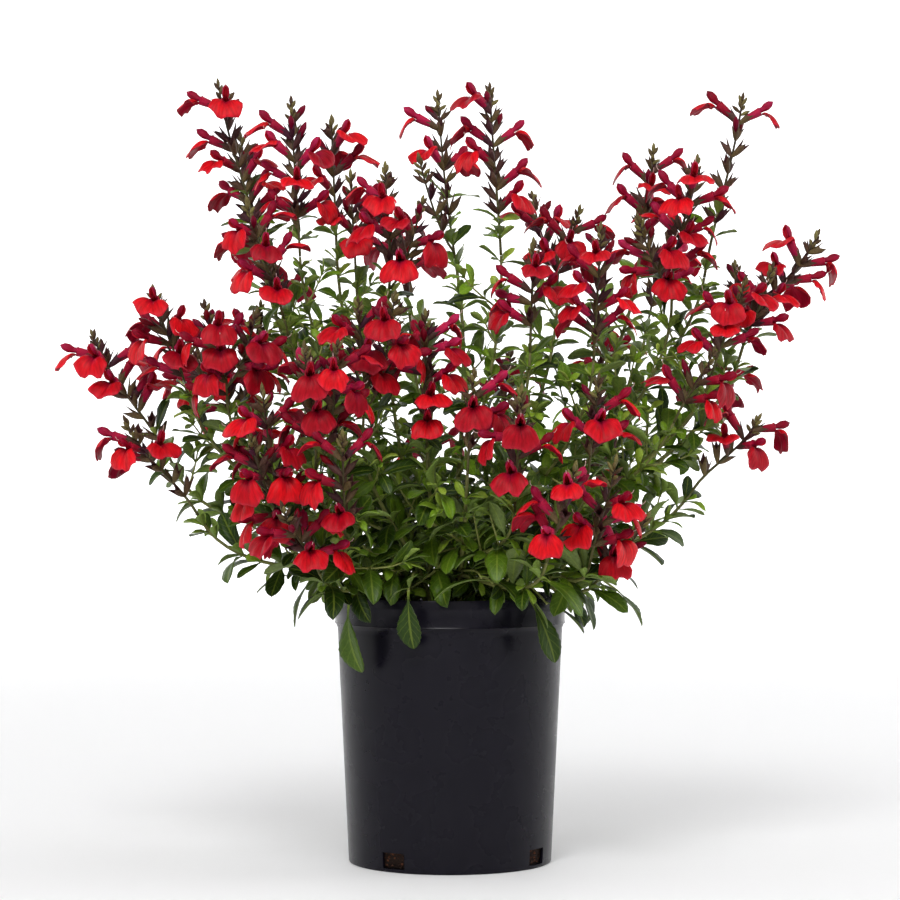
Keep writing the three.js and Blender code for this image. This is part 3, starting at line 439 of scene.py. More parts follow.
def box_of(points, axes):
    axes = np.array(axes)
    spans = points @ axes.T
    low, high = spans.min(0), spans.max(0)
    reach = (high - low) / 2 + SAFE
    return Box(((high + low) / 2) @ axes, axes, reach, length(reach))


def stem_boxes(stem):
    boxes = []
    r = stem.kind["radius"][0]
    for a, b in zip(stem.points, stem.points[1:]):
        way = unit(b - a)
        side, up = stem.sides(way)
        corners = np.array([p + q for p in (a, b) for q in (side * r, -side * r, up * r, -up * r)])
        boxes.append(box_of(corners, [way, side, up]))
    return boxes


def tilted(organ, angle):
    x = between(organ.x, organ.z, angle)
    return [x, organ.y, np.cross(x, organ.y)]


def flower_boxes(organ):
    ring = throat_ring()
    left, top, right, bottom = ring
    return [
        box_of(organ.place([(2.4, 0, 2.2), *ring]), tilted(organ, RISE)),
        box_of(organ.place([left, top, right, MOUTH, HOOD_TIP]), tilted(organ, 50)),
        box_of(organ.place([bottom, right, *mirror(LIP), MOUTH]), tilted(organ, -35)),
        box_of(organ.place([bottom, left, *LIP, MOUTH]), tilted(organ, -35)),
    ]


def blade_boxes(organ, outline, middle, thick):
    rim = organ.place(mirror(outline) + outline)
    centre = organ.place(middle)
    top, bottom = centre + organ.z * thick / 2, centre - organ.z * thick / 2
    points = np.array([*rim, mix(organ.foot, top, 0.3), top, bottom])
    return [box_of(points, [organ.x, organ.y, organ.z])]


def leaf_boxes(organ):
    return blade_boxes(organ, LEAF, LEAF_MIDDLE, LEAF_THICKNESS)


def calyx_boxes(organ):
    way = unit(organ.place((1, 0, 0.8)) - organ.foot)
    mouth = organ.place(CALYX_MOUTH)
    points = np.array([mix(organ.foot, mouth, 0.25), *organ.place(CALYX_TEETH), mouth])
    return [box_of(points, [way, organ.y, np.cross(way, organ.y)])]


class Room:
    """What is already there, as boxes with their owners. An organ belongs to no stem."""

    def __init__(self, size):
        self.count = 0
        self.owners = np.zeros(size, int)
        self.centres = np.zeros((size, 3))
        self.axes = np.zeros((size, 3, 3))
        self.reaches = np.zeros((size, 3))
        self.radii = np.zeros(size)

    def claim(self, owner, boxes):
        for box in boxes:
            i = self.count
            self.owners[i] = id(owner) if owner else 0
            self.centres[i], self.axes[i] = box.centre, box.axes
            self.reaches[i], self.radii[i] = box.reach, box.radius
            self.count += 1

    def free(self, box, owner):
        """Whether a box touches none of those that are there, apart from its own stem's."""
        n = self.count
        apart = self.centres[:n] - box.centre
        near = (apart**2).sum(1) <= (self.radii[:n] + box.radius) ** 2
        near &= self.owners[:n] != (id(owner) if owner else 0)
        hits = np.flatnonzero(near)
        return not len(hits) or not self.touching(box, hits, apart[hits]).any()

    def touching(self, box, hits, apart):
        """Two boxes touch where none of 15 directions has a gap between them."""
        theirs = self.axes[hits]
        crossed = np.cross(box.axes[None, :, None], theirs[:, None, :]).reshape(len(hits), 9, 3)
        ours = np.broadcast_to(box.axes, theirs.shape)
        tests = np.concatenate([ours, theirs, crossed], axis=1)
        spans = np.abs(tests @ box.axes.T) @ box.reach
        shares = np.abs(np.einsum("nij,nkj->nik", tests, theirs))
        spans += np.einsum("nik,nk->ni", shares, self.reaches[hits])
        gaps = np.abs(np.einsum("nij,nj->ni", tests, apart)) > spans
        gaps &= (tests**2).sum(2) >= 1e-6
        return ~gaps.any(1)


room = Room(size=12000)
ROOT_REACH = 6  # an organ may touch its own stem this near to its foot


def clears_own_stem(stem, foot, boxes):
    """An organ keeps off its own stem beyond the place that it grows from."""
    at = stem.along(np.arange(0, stem.total + 1e-9, 4))[0]
    at = at[((at - foot) ** 2).sum(1) > ROOT_REACH**2]
    margin = stem.kind["radius"][0]
    return not any((np.abs((at - b.centre) @ b.axes.T) < b.reach + margin).all(1).any() for b in boxes)


FIFTHS = (-1, -0.5, 0, 0.5, 1)
POT_STEPS = np.array([(i, j, k) for i in FIFTHS for j in FIFTHS for k in (-1, 1)])
POT_INSIDE = 76  # organs keep this near to the pot's middle, or off the pot altogether
POT_CLEAR = 2
SOIL_GAP = 3


def touches_pot(box):
    p = box.centre + (POT_STEPS * box.reach) @ box.axes
    r = np.hypot(p[:, 0], p[:, 1])
    blocked = np.where(r > POT_INSIDE, r < RIM_RADIUS + POT_CLEAR, p[:, 2] < SOIL_TOP + SOIL_GAP)
    return bool(((p[:, 2] < POT_HEIGHT + POT_CLEAR) & blocked).any())


# ---- the layout
HEADINGS = {"R": 0, "BR": 45, "B": 90, "BL": 135, "L": 180, "FL": 225, "F": 270, "FR": 315}
TURNS = [0, 18, -18, 36, -36, 56, -56, 80, -80]
TILTS = [0, -14, 14, -26]
FLOWER_SCALE = (0.98, 0.07)  # the middle of the range, and its reach
HEADING_REACH = 12
TILT_REACH = 6


def flowers_of(text):
    return [(HEADINGS[way], int(drop)) for way, drop in re.findall(r"([A-Z]+)(\d+)", text)]


def settle(stem, frames, boxes_of):
    """Keeps the first of the frames that is clear."""
    for organ in frames:
        boxes = boxes_of(organ)
        if all(not touches_pot(box) and room.free(box, stem) for box in boxes):
            if clears_own_stem(stem, organ.foot, boxes):
                room.claim(None, boxes)
                return organ
    return None


def half_up(number):
    return math.floor(number + 0.5)


def add_flowers(spike, index):
    for s, stem in enumerate(spike.stems):
        for i, (heading, drop) in enumerate(flowers_of(spike.texts[s])):
            key = index * 1000 + s * 100 + i * 7
            distance = stem.total - half_up(drop / SPIKE_NODE) * SPIKE_NODE
            scale = FLOWER_SCALE[0] + spread(key, FLOWER_SCALE[1])
            heads = heading + spread(key + 1, HEADING_REACH)
            lift = spread(key + 2, TILT_REACH)
            ways = ((heads + turn, tilt + lift) for tilt in TILTS for turn in TURNS)
            frames = (flower_frame(stem, distance, *way, scale) for way in ways)
            found = settle(stem, frames, flower_boxes)
            if found:
                spike.flowers.append(found)


CALYX_TURNS = [0, 40, -40, 80, -80, 120, -120, 180]


def add_calyces(spike, index):
    for stem in spike.stems:
        for i in range(half_up(stem.total / (SPIKE_NODE * CALYX_STRIDE)) - 1):
            distance = stem.total - SPIKE_NODE * (1.5 + i * CALYX_STRIDE)
            heading = (index * 77 + i * 130) % 360
            frames = (flower_frame(stem, distance, heading + turn, 0, CALYX_LENGTH) for turn in CALYX_TURNS)
            found = settle(stem, frames, calyx_boxes)
            if found:
                spike.calyces.append(found)


TWIG_TURNS = [0, 25, -25, 50, -50]
TWIG_COUNT = 3
TWIG_FIRST = 22  # above the soil
TWIG_STEP = 27
TWIG_HEADINGS = [75, -75, 140, -140]  # each in turn, in degrees from the way the shoot leans
TWIG_SPAN = 42


def claim_if_clear(twig, parent, first, rest):
    """Claims a twig's room if its steps are clear of all but its parent."""
    clear = room.free(first, parent) and not any(touches_pot(b) or not room.free(b, None) for b in rest)
    if clear:
        room.claim(twig, [first, *rest])
    return clear


def add_twigs(shoot, index):
    """Short leafy side twigs low on the shoot."""
    leader = shoot.stems[0]
    for i in range(TWIG_COUNT):
        key = KEYS["twig"] + index * 40 + i * 5
        distance = ROOT_DEPTH + TWIG_FIRST + i * TWIG_STEP + noise(key) * 8
        at = leader.along(distance)[0]
        top = leader.points[-1]
        outward = math.atan2(top[1], top[0])
        turn_to = TWIG_HEADINGS[(i + index) % 4] + spread(key + 1, 20)
        span = TWIG_SPAN + noise(key + 2) * 26 - i * 3
        for turn in TWIG_TURNS:
            angle = outward + math.radians(turn_to + turn)
            out = unit(vec(math.cos(angle), math.sin(angle), 0.45 + noise(key + 3) * 0.5))
            twig = fork_stem(TWIG, leader, distance, at + out * span, unit(out + UP * 0.4))
            first, *rest = stem_boxes(twig)
            if not touches_pot(first) and claim_if_clear(twig, leader, first, rest):
                shoot.stems.append(twig)
                break


def add_drapes(shoot, index):
    leader = shoot.stems[0]
    for _, height, end, way, long, wide in (drape for drape in DRAPES if drape[0] == index):
        distance = distance_at_height(leader, height)
        at = leader.along(distance)[0]
        end = vec(*end)
        end_way = unit(vec(end[0] - at[0], end[1] - at[1], -30))
        twig = fork_stem(TWIG, leader, distance, end, end_way, 0.3)
        room.claim(twig, stem_boxes(twig))
        shoot.stems.append(twig)
        up = unit(vec(end[0], end[1], 0)) if abs(way[2]) > 0.6 else UP
        leaf = Frame(end - end_way * 2, vec(*way), up, [long, wide, long])
        room.claim(None, blade_boxes(leaf, LARGE_LEAF, LARGE_LEAF_MIDDLE, LARGE_LEAF_THICKNESS))
        shoot.large_leaves.append(leaf)


LEAF_TURNS = (0, 30, -30, 60, -60, 90, -90)
LEAF_LEAN = 0.55  # how much a leaf points along its stem


def add_leaves(shoot, index):
    """Pairs of leaves that face each other, each pair turned a quarter from the last."""
    for s, stem in enumerate(shoot.stems):
        start = ROOT_DEPTH + 20 if s == 0 else 14
        spacing = TWIG_PAIR_SPACING if stem.kind is TWIG else PAIR_SPACING
        for i in range((math.floor((stem.total - start) / spacing) + 1) * 2):
            pair = i // 2
            key = KEYS["leaf"] + index * 4000 + s * 200 + pair * 12
            distance = start + pair * spacing + spread(key, 4)
            size = mix(*LEAF_LENGTH, noise(key + 1 + i))
            turn_to = pair * 90 + i * 180 + s * 60 + spread(key + 3 + i, 20)
            roll = (spread(key + 5 + i, 0.7), spread(key + 7 + i, 0.7))
            turns = (turn_to + turn for turn in LEAF_TURNS)
            frames = (leaf_frame(stem, distance, turn, roll, size, LEAF_LEAN) for turn in turns)
            found = settle(stem, frames, leaf_boxes)
            if found:
                shoot.leaves.append(found)
                shoot.pairs.append((stem, distance))


def leaf_frame(stem, distance, turn, roll, size, lean):
    """A leaf that leaves its stem at a turn round it and leans towards the stem's end."""
    at, way = stem.along(distance)
    side, other = stem.sides(way)
    out = unit(between(side, other, turn) + way * lean - UP * 0.12)
    up = UP + way * 0.25 + side * roll[0] + other * roll[1]
    return Frame(at, out, up, [size, size * LEAF_SLENDERNESS, size], stem.curve(distance)[0])


class Node:
    """A shoot or a spike: its stems and what grows on them."""

    def __init__(self, name, stems, texts=()):
        self.name = name
        self.stems = stems
        self.texts = texts
        self.flowers, self.calyces, self.fine_calyces = [], [], []
        self.leaves, self.large_leaves, self.fine_leaves = [], [], []
        self.pairs, self.side_twigs = [], []


shoots = [Node(f"shoot_{i + 1:02d}", shoot_stems(plan)) for i, plan in enumerate(SHOOTS)]
bunches = [bunch for plan in SHOOTS for bunch in plan["bunches"]]
spikes = [
    Node(f"spike_{i + 1:02d}", spike_stems(bunch), [spike[1] for spike in bunch[1:]])
    for i, bunch in enumerate(bunches)
]


def lay_out(nodes, add):
    for index, node in enumerate(nodes):
        add(node, index)


for node in [*shoots, *spikes]:
    for stem in node.stems:
        room.claim(stem, stem_boxes(stem))
lay_out(spikes, add_flowers)
lay_out(shoots, add_drapes)
lay_out(shoots, add_twigs)
lay_out(shoots, add_leaves)
lay_out(spikes, add_calyces)


# ---- more of the plant, for the eye
FIRST_NODE = 9  # above the soil, or above the fork
LEAF_SPACING = 17  # between the nodes that carry leaves
LEAF_JITTER = 4
FINE_LEAF_LENGTH = (17, 28)
LOW_LEAF_GROWTH = 0.46  # how much longer the leaves just above the rim are
LOW = 330  # leaves grow longer below this height, and darker with painted shade
TUFT_LENGTH = (9, 16)
TUFT_LEAVES = 4
TUFT_LEAN = 0.5
LEAN = (0.1, 1.1)  # how much a fine leaf points along its stem
LEAF_ROLL = 0.8
FINE_LEAF_TURNS = (0, 25, -25, 50, -50)
LEAF_SNUG = 0.68  # how much of its box a fine leaf keeps clear of the others
PAIR_REACH = 8  # a node this near to a pair that the solids have gets no pair of its own
HIGH = 440  # leaves are sparser above this height
HIGH_BARE = 0.3  # this share of the nodes up there has no pair
FLOWERING = 88  # this much of a flowering stem's end has no leaves


def plain_stems(shoot, index):
    """The stems without the ones that only carry a draping leaf."""
    forks = len(SHOOTS[index]["forks"])
    drapes = sum(drape[0] == index for drape in DRAPES)
    return shoot.stems[: forks + 1], shoot.stems[forks + 1 + drapes :]


def add_fine_leaves(shoot, index):
    """A pair at each node that has no leaves yet, and a tuft of small leaves in every axil."""
    stems, twigs = plain_stems(shoot, index)
    for s, stem in enumerate(stems + twigs):
        first = ROOT_DEPTH + FIRST_NODE if s == 0 else FIRST_NODE
        for i in range(max(int((stem.total - first) / LEAF_SPACING), 0) + 1):
            key = KEYS["fine leaf"] + index * 9000 + s * 900 + i * 20
            add_leaf_node(shoot, stem, first + i * LEAF_SPACING + spread(key, LEAF_JITTER), i, key)


def add_leaf_node(shoot, stem, distance, i, key):
    high = stem.along(distance)[0][2] > HIGH
    known = any(other is stem and abs(where - distance) < PAIR_REACH for other, where in shoot.pairs)
    if not known and not (high and noise(key + 19) < HIGH_BARE):
        for side in (0, 1):
            add_leaf(shoot, stem, distance, i * 90 + side * 180 + 40, key + 2 + side, FINE_LEAF_LENGTH)
    for j in range(TUFT_LEAVES - 1 if high else TUFT_LEAVES):
        add_leaf(shoot, stem, distance, i * 90 + j * 90 + 5, key + 8 + j * 2, TUFT_LENGTH, TUFT_LEAN)


def lowness(at):
    """0 in the upper bush, and 1 at the height of the rim."""
    return min(max((LOW - at[2]) / (LOW - POT_HEIGHT), 0), 1)


def squeeze_in(stem, frames, boxes_of, share):
    """Keeps the first of the frames that is clear with its box shrunk to a share of its size."""
    for organ in frames:
        box = boxes_of(organ)[0]
        box = box._replace(reach=box.reach * share, radius=box.radius * share)
        if not touches_pot(box) and room.free(box, stem):
            room.claim(stem, [box])
            return organ
    return None


def add_leaf(node, stem, distance, heading, key, sizes, more_lean=0.0):
    size = mix(*sizes, noise(key)) * (1 + LOW_LEAF_GROWTH * lowness(stem.along(distance)[0]))
    roll = (spread(key + 31, LEAF_ROLL), spread(key + 33, LEAF_ROLL))
    lean = mix(*LEAN, noise(key + 37)) + more_lean
    heading += spread(key + 35, 20)
    frames = (leaf_frame(stem, distance, heading + turn, roll, size, lean) for turn in FINE_LEAF_TURNS)
    leaf = squeeze_in(stem, frames, leaf_boxes, LEAF_SNUG)
    if leaf:
        node.fine_leaves.append((leaf, key))


def add_spike_leaves(spike, index):
    """Leaves on the part of a flowering stem that is below its flowers."""
    for s, stem in enumerate(spike.stems):
        for i in range(int((stem.total - FLOWERING) // LEAF_SPACING) + 1):
            key = KEYS["spike leaf"] + index * 900 + s * 300 + i * 20
            distance = FIRST_NODE + i * LEAF_SPACING + spread(key, LEAF_JITTER)
            for j in range(TUFT_LEAVES):
                sizes = FINE_LEAF_LENGTH if j < 2 else TUFT_LENGTH
                add_leaf(spike, stem, distance, i * 90 + (j % 2) * 180 + (j // 2) * 80, key + j * 2, sizes)


SIDE_TWIG = {"radius": (1.15, 0.7), "steps": 2}
SIDE_TWIG_SPACING = 27
SIDE_TWIG_LENGTH = (22, 46)
SIDE_TWIG_LEAN = (0.5, 1.1)  # how much it points along its stem
SIDE_TWIG_RISE = 0.35
SIDE_TWIG_HEIGHTS = (SOIL_TOP + 12, 405)
SIDE_TWIG_TURNS = (0, 60, -60, 120)
SIDE_TWIG_NODES = (0.4, 0.72, 0.97)
GOLDEN_TURN = 137  # degrees from one twig to the next, so that they point all ways
WIDEST_LOW = 92  # how far out side twigs reach at the height of the rim
WIDENING = 0.9


def side_twig(stem, distance, turn, key):
    """A twig that starts at a turn round its stem, or None where it would reach too far out."""
    at, way = stem.along(distance)
    across = between(*stem.sides(way), turn)
    out = unit(across + way * mix(*SIDE_TWIG_LEAN, noise(key + 2)))
    end = at + out * mix(*SIDE_TWIG_LENGTH, noise(key + 3))
    if length(end[:2]) > WIDEST_LOW + (end[2] - POT_HEIGHT) * WIDENING:
        return None
    return fork_stem(SIDE_TWIG, stem, distance, end, unit(out + UP * SIDE_TWIG_RISE))


def add_side_twigs(shoot, index):
    """Leafy side twigs from the axils, which fill the bush between its main stems."""
    low, high = SIDE_TWIG_HEIGHTS
    for s, stem in enumerate(plain_stems(shoot, index)[0]):
        for i in range(int((stem.total - SIDE_TWIG_SPACING / 2) / SIDE_TWIG_SPACING)):
            key = KEYS["side twig"] + index * 4000 + s * 600 + i * 30
            distance = SIDE_TWIG_SPACING * (i + 0.8) + spread(key, 5)
            turns = SIDE_TWIG_TURNS if low < stem.along(distance)[0][2] < high else ()
            for turn in turns:
                twig = side_twig(stem, distance, i * GOLDEN_TURN + turn + spread(key + 1, 20), key)
                if twig and keep_twig(shoot, stem, twig, key):
                    break


def keep_twig(shoot, parent, twig, key):
    first, *rest = stem_boxes(twig)
    clear = claim_if_clear(twig, parent, first, rest)
    if clear:
        shoot.side_twigs.append((twig, key))
    return clear


RIM_TWIGS = 26
RIM_TWIG_FOOT = (182, 206)  # the heights where they leave the main stems
RIM_TWIG_RADIUS = (74, 104)
RIM_TWIG_TOP = (204, 216)
RIM_TWIG_CLIMB = (-0.35, 0.45)


def add_rim_twigs():
    """Low side twigs all round that reach out over the pot's rim."""
    for i in range(RIM_TWIGS):
        key = KEYS["rim twig"] + i * 30
        turn = math.tau * (i + noise(key)) / RIM_TWIGS
        heading = vec(math.cos(turn), math.sin(turn), 0)
        end = heading * mix(*RIM_TWIG_RADIUS, noise(key + 1)) + UP * mix(*RIM_TWIG_TOP, noise(key + 2))
        ranked = sorted(shoots, key=lambda shoot: -unit(shoot.stems[0].points[2] * (1, 1, 0)) @ heading)
        for shoot in ranked[:4]:
            leader = shoot.stems[0]
            distance = distance_at_height(leader, mix(*RIM_TWIG_FOOT, noise(key + 3)))
            out = unit(heading + UP * mix(*RIM_TWIG_CLIMB, noise(key + 4)))
            if keep_twig(shoot, leader, fork_stem(SIDE_TWIG, leader, distance, end, out, 0.3), key):
                break


def add_twig_leaves(shoot, index):
    """Two pairs of leaves on a side twig, and four small ones at its end."""
    for twig, key in shoot.side_twigs:
        for i, share in enumerate(SIDE_TWIG_NODES):
            last = share == SIDE_TWIG_NODES[-1]
            sizes, count = (TUFT_LENGTH, 4) if last else (FINE_LEAF_LENGTH, 2)
            for j in range(count):
                heading = i * 90 + j * 360 / count + 20
                add_leaf(shoot, twig, twig.total * share, heading, key + 4 + i * 6 + j, sizes, 0.4 * i)


CALYX_TILT = 8
CALYX_GROWTH = (0.62, 1.2)  # a fine calyx's share of CALYX_LENGTH near the tip and lower down
CALYX_GROWN = 55  # a calyx is longer by CALYX_LENGTH for every this much further from the tip
CALYX_NODE = 9.6
SPARSE_NODE = 12.5  # the same on a spike with few open flowers
FEW = 6
CALYX_SPAN = 105  # calyces stand on this much of a flowering stem's end
CALYX_SNUG = 0.5
FINE_CALYX_TURNS = (0, 30, -30, 50)


def add_fine_calyces(spike, index):
    """Pairs of calyces at the nodes between the flowers, smaller towards the tip."""
    gap = SPARSE_NODE if len(spike.flowers) < FEW else CALYX_NODE
    for s, stem in enumerate(spike.stems):
        for i in range(1, int((min(stem.total, CALYX_SPAN) - 4) / gap)):
            for side in (0, 1):
                key = KEYS["fine calyx"] + index * 600 + s * 200 + i * 4 + side
                heading = index * 47 + i * 90 + side * 180 + spread(key, 15)
                add_fine_calyx(spike, stem, (i + 0.3) * gap, heading, key)


def add_fine_calyx(spike, stem, drop, heading, key):
    least, most = CALYX_GROWTH
    size = CALYX_LENGTH * min(least + drop / CALYX_GROWN, most) * (1 + spread(key + 9, 0.1))
    tilt = CALYX_TILT + spread(key + 10, 8)
    headings = (heading + turn for turn in FINE_CALYX_TURNS)
    frames = (flower_frame(stem, stem.total - drop, way, tilt, size) for way in headings)
    calyx = squeeze_in(stem, frames, calyx_boxes, CALYX_SNUG)
    if calyx:
        spike.fine_calyces.append((calyx, key, drop))


lay_out(spikes, add_fine_calyces)
add_rim_twigs()
lay_out(shoots, add_side_twigs)
lay_out(shoots, add_fine_leaves)
lay_out(spikes, add_spike_leaves)
lay_out(shoots, add_twig_leaves)


# ---- colours
def srgb(*numbers):
    """A colour from 0 to 255 on a screen, as the linear shares that shaders take."""
    c = np.array(numbers) / 255
    return np.where(c <= 0.04045, c / 12.92, ((c + 0.055) / 1.055) ** 2.4)


SCARLET = srgb(216, 12, 24)
CRIMSON = srgb(140, 2, 24)
MAGENTA = srgb(150, 12, 60)
# painted light: the pale rose inside the tube and hood, and the painted highlight on the tube's upper side
PAINTED_LIGHT_ROSE = srgb(220, 38, 62)
PINK = srgb(206, 42, 98)
# a painted glint along the petals' edges
PETAL_GLINT = srgb(232, 62, 84)
THREAD = srgb(236, 196, 190)
CALYX_DARK = srgb(58, 28, 28)
CALYX_OLIVE = srgb(118, 106, 58)
CALYX_PURPLE = srgb(66, 20, 44)
BUD_OLIVE = srgb(118, 110, 62)
LEAF_DEEP = srgb(22, 45, 4)
LEAF_GREEN = srgb(110, 146, 30)
LEAF_YOUNG = srgb(158, 176, 66)
LEAF_UNDER = srgb(124, 142, 78)
STEM_LOW = srgb(144, 150, 82)
STEM_HIGH = srgb(48, 30, 28)
POT_BLACK = srgb(16, 14, 23)
SOIL_DARK = srgb(34, 22, 16)
SOIL_BROWN = srgb(104, 62, 40)
STAGE_PALE = (0.9, 0.9, 0.905)


# ---- meshes
@lru_cache(maxsize=None)
def wall_faces(rows, columns, wrap):
    """Quads between neighbouring rows of points."""
    i, j = np.meshgrid(np.arange(rows - 1), np.arange(columns if wrap else columns - 1), indexing="ij")
    i, j = i.ravel() * columns, j.ravel()
    k = (j + 1) % columns
    return np.stack([i + j, i + columns + j, i + columns + k, i + k], 1)


@lru_cache(maxsize=None)
def rim_faces(rows, columns, wrap):
    """Quads that join the edges of an upper and a lower wall."""
    across = np.arange(columns if wrap else columns - 1)
    after = (across + 1) % columns
    last = (rows - 1) * columns
    edges = [np.stack([last + across, last + after], 1), np.stack([after, across], 1)]
    if not wrap:
        down = np.arange(rows - 1) * columns
        edges.append(np.stack([down, down + columns], 1))
        edges.append(np.stack([down + 2 * columns - 1, down + columns - 1], 1))
    a, b = np.concatenate(edges).T
    under = rows * columns
    return np.stack([b, a, a + under, b + under], 1)


def round_angles(count):
    return np.arange(count) * 2 * math.pi / count


def seated(organ, grid, scale=1.0):
    """A grid of an organ's own points, moved to the organ's place."""
    return organ.turned(grid.reshape(-1, 3) * scale).reshape(grid.shape)


def marks_of(along, across, draw):
    """Where each point is on its blade or petal, and a number that tells that one from others."""
    return np.stack(np.broadcast_arrays(along, across, draw), -1).reshape(-1, 3)


def normals_of(grid, wrap):
    along = np.gradient(grid, axis=0)
    across = np.roll(grid, -1, 1) - np.roll(grid, 1, 1) if wrap else np.gradient(grid, axis=1)
    normal = np.cross(along, across)
    return normal / np.maximum(np.linalg.norm(normal, axis=2, keepdims=True), 1e-9)


STUFFS = ["stem", "leaf", "petal", "calyx", "pot", "soil"]


class Piece:
    """A mesh in the making. Each point has a tint, and a place on its blade for the veins."""

    def __init__(self):
        self.count = 0
        self.points, self.tints, self.blades = [], [], []
        self.faces, self.stuffs, self.smooths = [], [], []

    def add(self, points, tints, groups, stuff, blades=None):
        n = len(points)
        self.points.append(points)
        self.tints.append(np.broadcast_to(tints, (n, 3)))
        self.blades.append(np.zeros((n, 3)) if blades is None else blades)
        for faces, smooth in groups:
            self.faces.append(np.asarray(faces) + self.count)
            self.stuffs.append(np.full(len(faces), STUFFS.index(stuff)))
            self.smooths.append(np.full(len(faces), smooth))
        self.count += n

    def add_sheet(self, grid, thickness, upper, lower, stuff, wrap=False, blade=None):
        """A thin closed body round a grid of points, with a tint for each side."""
        rows, columns = grid.shape[:2]
        offset = normals_of(grid, wrap) * thickness / 2
        points = np.concatenate([(grid + offset).reshape(-1, 3), (grid - offset).reshape(-1, 3)])
        tints = np.concatenate([np.broadcast_to(t, grid.shape).reshape(-1, 3) for t in (upper, lower)])
        walls = wall_faces(rows, columns, wrap)
        under = walls[:, ::-1] + rows * columns
        groups = [(walls, True), (under, True), (rim_faces(rows, columns, wrap), False)]
        self.add(points, tints, groups, stuff, None if blade is None else np.tile(blade, (2, 1)))

    def add_tube(self, grid, tints, stuff):
        """A solid body through closed rows of points, with flat ends."""
        rows, columns = grid.shape[:2]
        ends = np.array([np.arange(columns), np.arange(columns)[::-1] + (rows - 1) * columns])
        tints = np.broadcast_to(tints, grid.shape).reshape(-1, 3)
        self.add(grid.reshape(-1, 3), tints, [(wall_faces(rows, columns, True), True), (ends, False)], stuff)

    def build(self, name):
        mesh = bpy.data.meshes.new(name)
        points = np.concatenate(self.points) * MM
        mesh.vertices.add(len(points))
        mesh.vertices.foreach_set("co", points.ravel())
        corners = np.concatenate([faces.ravel() for faces in self.faces])
        sizes = np.concatenate([np.full(len(faces), faces.shape[1]) for faces in self.faces])
        mesh.loops.add(len(corners))
        mesh.loops.foreach_set("vertex_index", corners)
        mesh.polygons.add(len(sizes))
        mesh.polygons.foreach_set("loop_start", np.cumsum(sizes) - sizes)
        stuffs = np.concatenate(self.stuffs)
        used = sorted(set(stuffs.tolist()))
        mesh.polygons.foreach_set("material_index", np.searchsorted(used, stuffs))
        mesh.polygons.foreach_set("use_smooth", np.concatenate(self.smooths))
        mesh.update(calc_edges=True)
        tint = mesh.color_attributes.new("tint", "FLOAT_COLOR", "POINT")
        tints = np.concatenate(self.tints)
        tint.data.foreach_set("color", np.hstack([tints, np.ones((len(tints), 1))]).ravel())
        blade = mesh.attributes.new("blade", "FLOAT_VECTOR", "POINT")
        blade.data.foreach_set("vector", np.concatenate(self.blades).ravel())
        for index in used:
            mesh.materials.append(FINISHES[STUFFS[index]])
        made = bpy.data.objects.new(name, mesh)
        bpy.context.scene.collection.objects.link(made)
        return made


# ---- fine stems
STEM_STEP = 9
STEM_SIDES = 8
TWIG_SIDES = 5
STEM_SQUARENESS = 0.07  # how far the corners of its section stand out, as a share


def add_stem(piece, stem, foot_tint, top_tint):
    """A stem with the rounded square section that this family of plants has."""
    n = max(int(stem.total / STEM_STEP), 3) + 1
    distances = np.linspace(0, stem.total, n)
    at, way = stem.curve(distances)
    side, up = stem.sides(way)
    share = (distances / stem.total)[:, None]
    radius = mix(*stem.kind["radius"], share) * SLIM
    thick = stem.kind is not SIDE_TWIG
    angles = round_angles(STEM_SIDES if thick else TWIG_SIDES)
    edged = 1 + STEM_SQUARENESS * np.cos(4 * angles) * thick
    ring = side[:, None] * np.cos(angles)[:, None] + up[:, None] * np.sin(angles)[:, None]
    grid = at[:, None] + ring * (radius * edged)[..., None]
    piece.add_tube(grid, mix(foot_tint, top_tint, share[:, None]), "stem")


# ---- fine leaves
LEAF_WIDER = 1.04  # a fine blade's width over that of its solid
PETIOLE_SHARE = (0.12, 0.2)  # of a fine leaf and of a large one
FINE_GRID = (9, 5)  # rows and columns of points
TUFT_GRID = (6, 3)
LARGE_GRID = (23, 7)
LARGE_LEAF_SHARE = (1.25, 1.16)  # length and width over those of its solid
TOOTH_DEPTH = 0.08
TIP_CROWDING = 1.35  # above 1, a blade's rows stand closer towards its tip
BLADE_RISE = 0.3  # how steeply a blade leaves its stem, before it bends over
BLADE_DROOP = (0.36, 0.26)  # the middle of the range, and its reach
BLADE_TWIST = 0.8
BLADE_RIPPLE = 0.09
BLADE_THICKNESS = 0.34
PETIOLE_THICKNESS = 0.75
LOW_LEAF_PAINTED_SHADE = 0.7  # painted shade: how far the leaves at the rim keep to the deep green
LOW_LEAF_PAINTED_DARKNESS = 0.35  # painted shade: how much darker the darkest leaves at the rim are
DARK_GREENS = (LEAF_DEEP, LEAF_GREEN)
YOUNG_GREENS = (LEAF_GREEN, LEAF_YOUNG)


def leaf_outline(s, blunt):
    """Half the width of a blade along its length, as a share of the widest place."""
    petiole = mix(*PETIOLE_SHARE, blunt)
    along = np.clip((s - petiole) / (1 - petiole), 0, 1)
    blade = np.sin(math.pi * along ** mix(1.4, 1.5, blunt)) ** mix(0.54, 0.62, blunt)
    return np.maximum(blade, 0.1 * (1.05 - s))


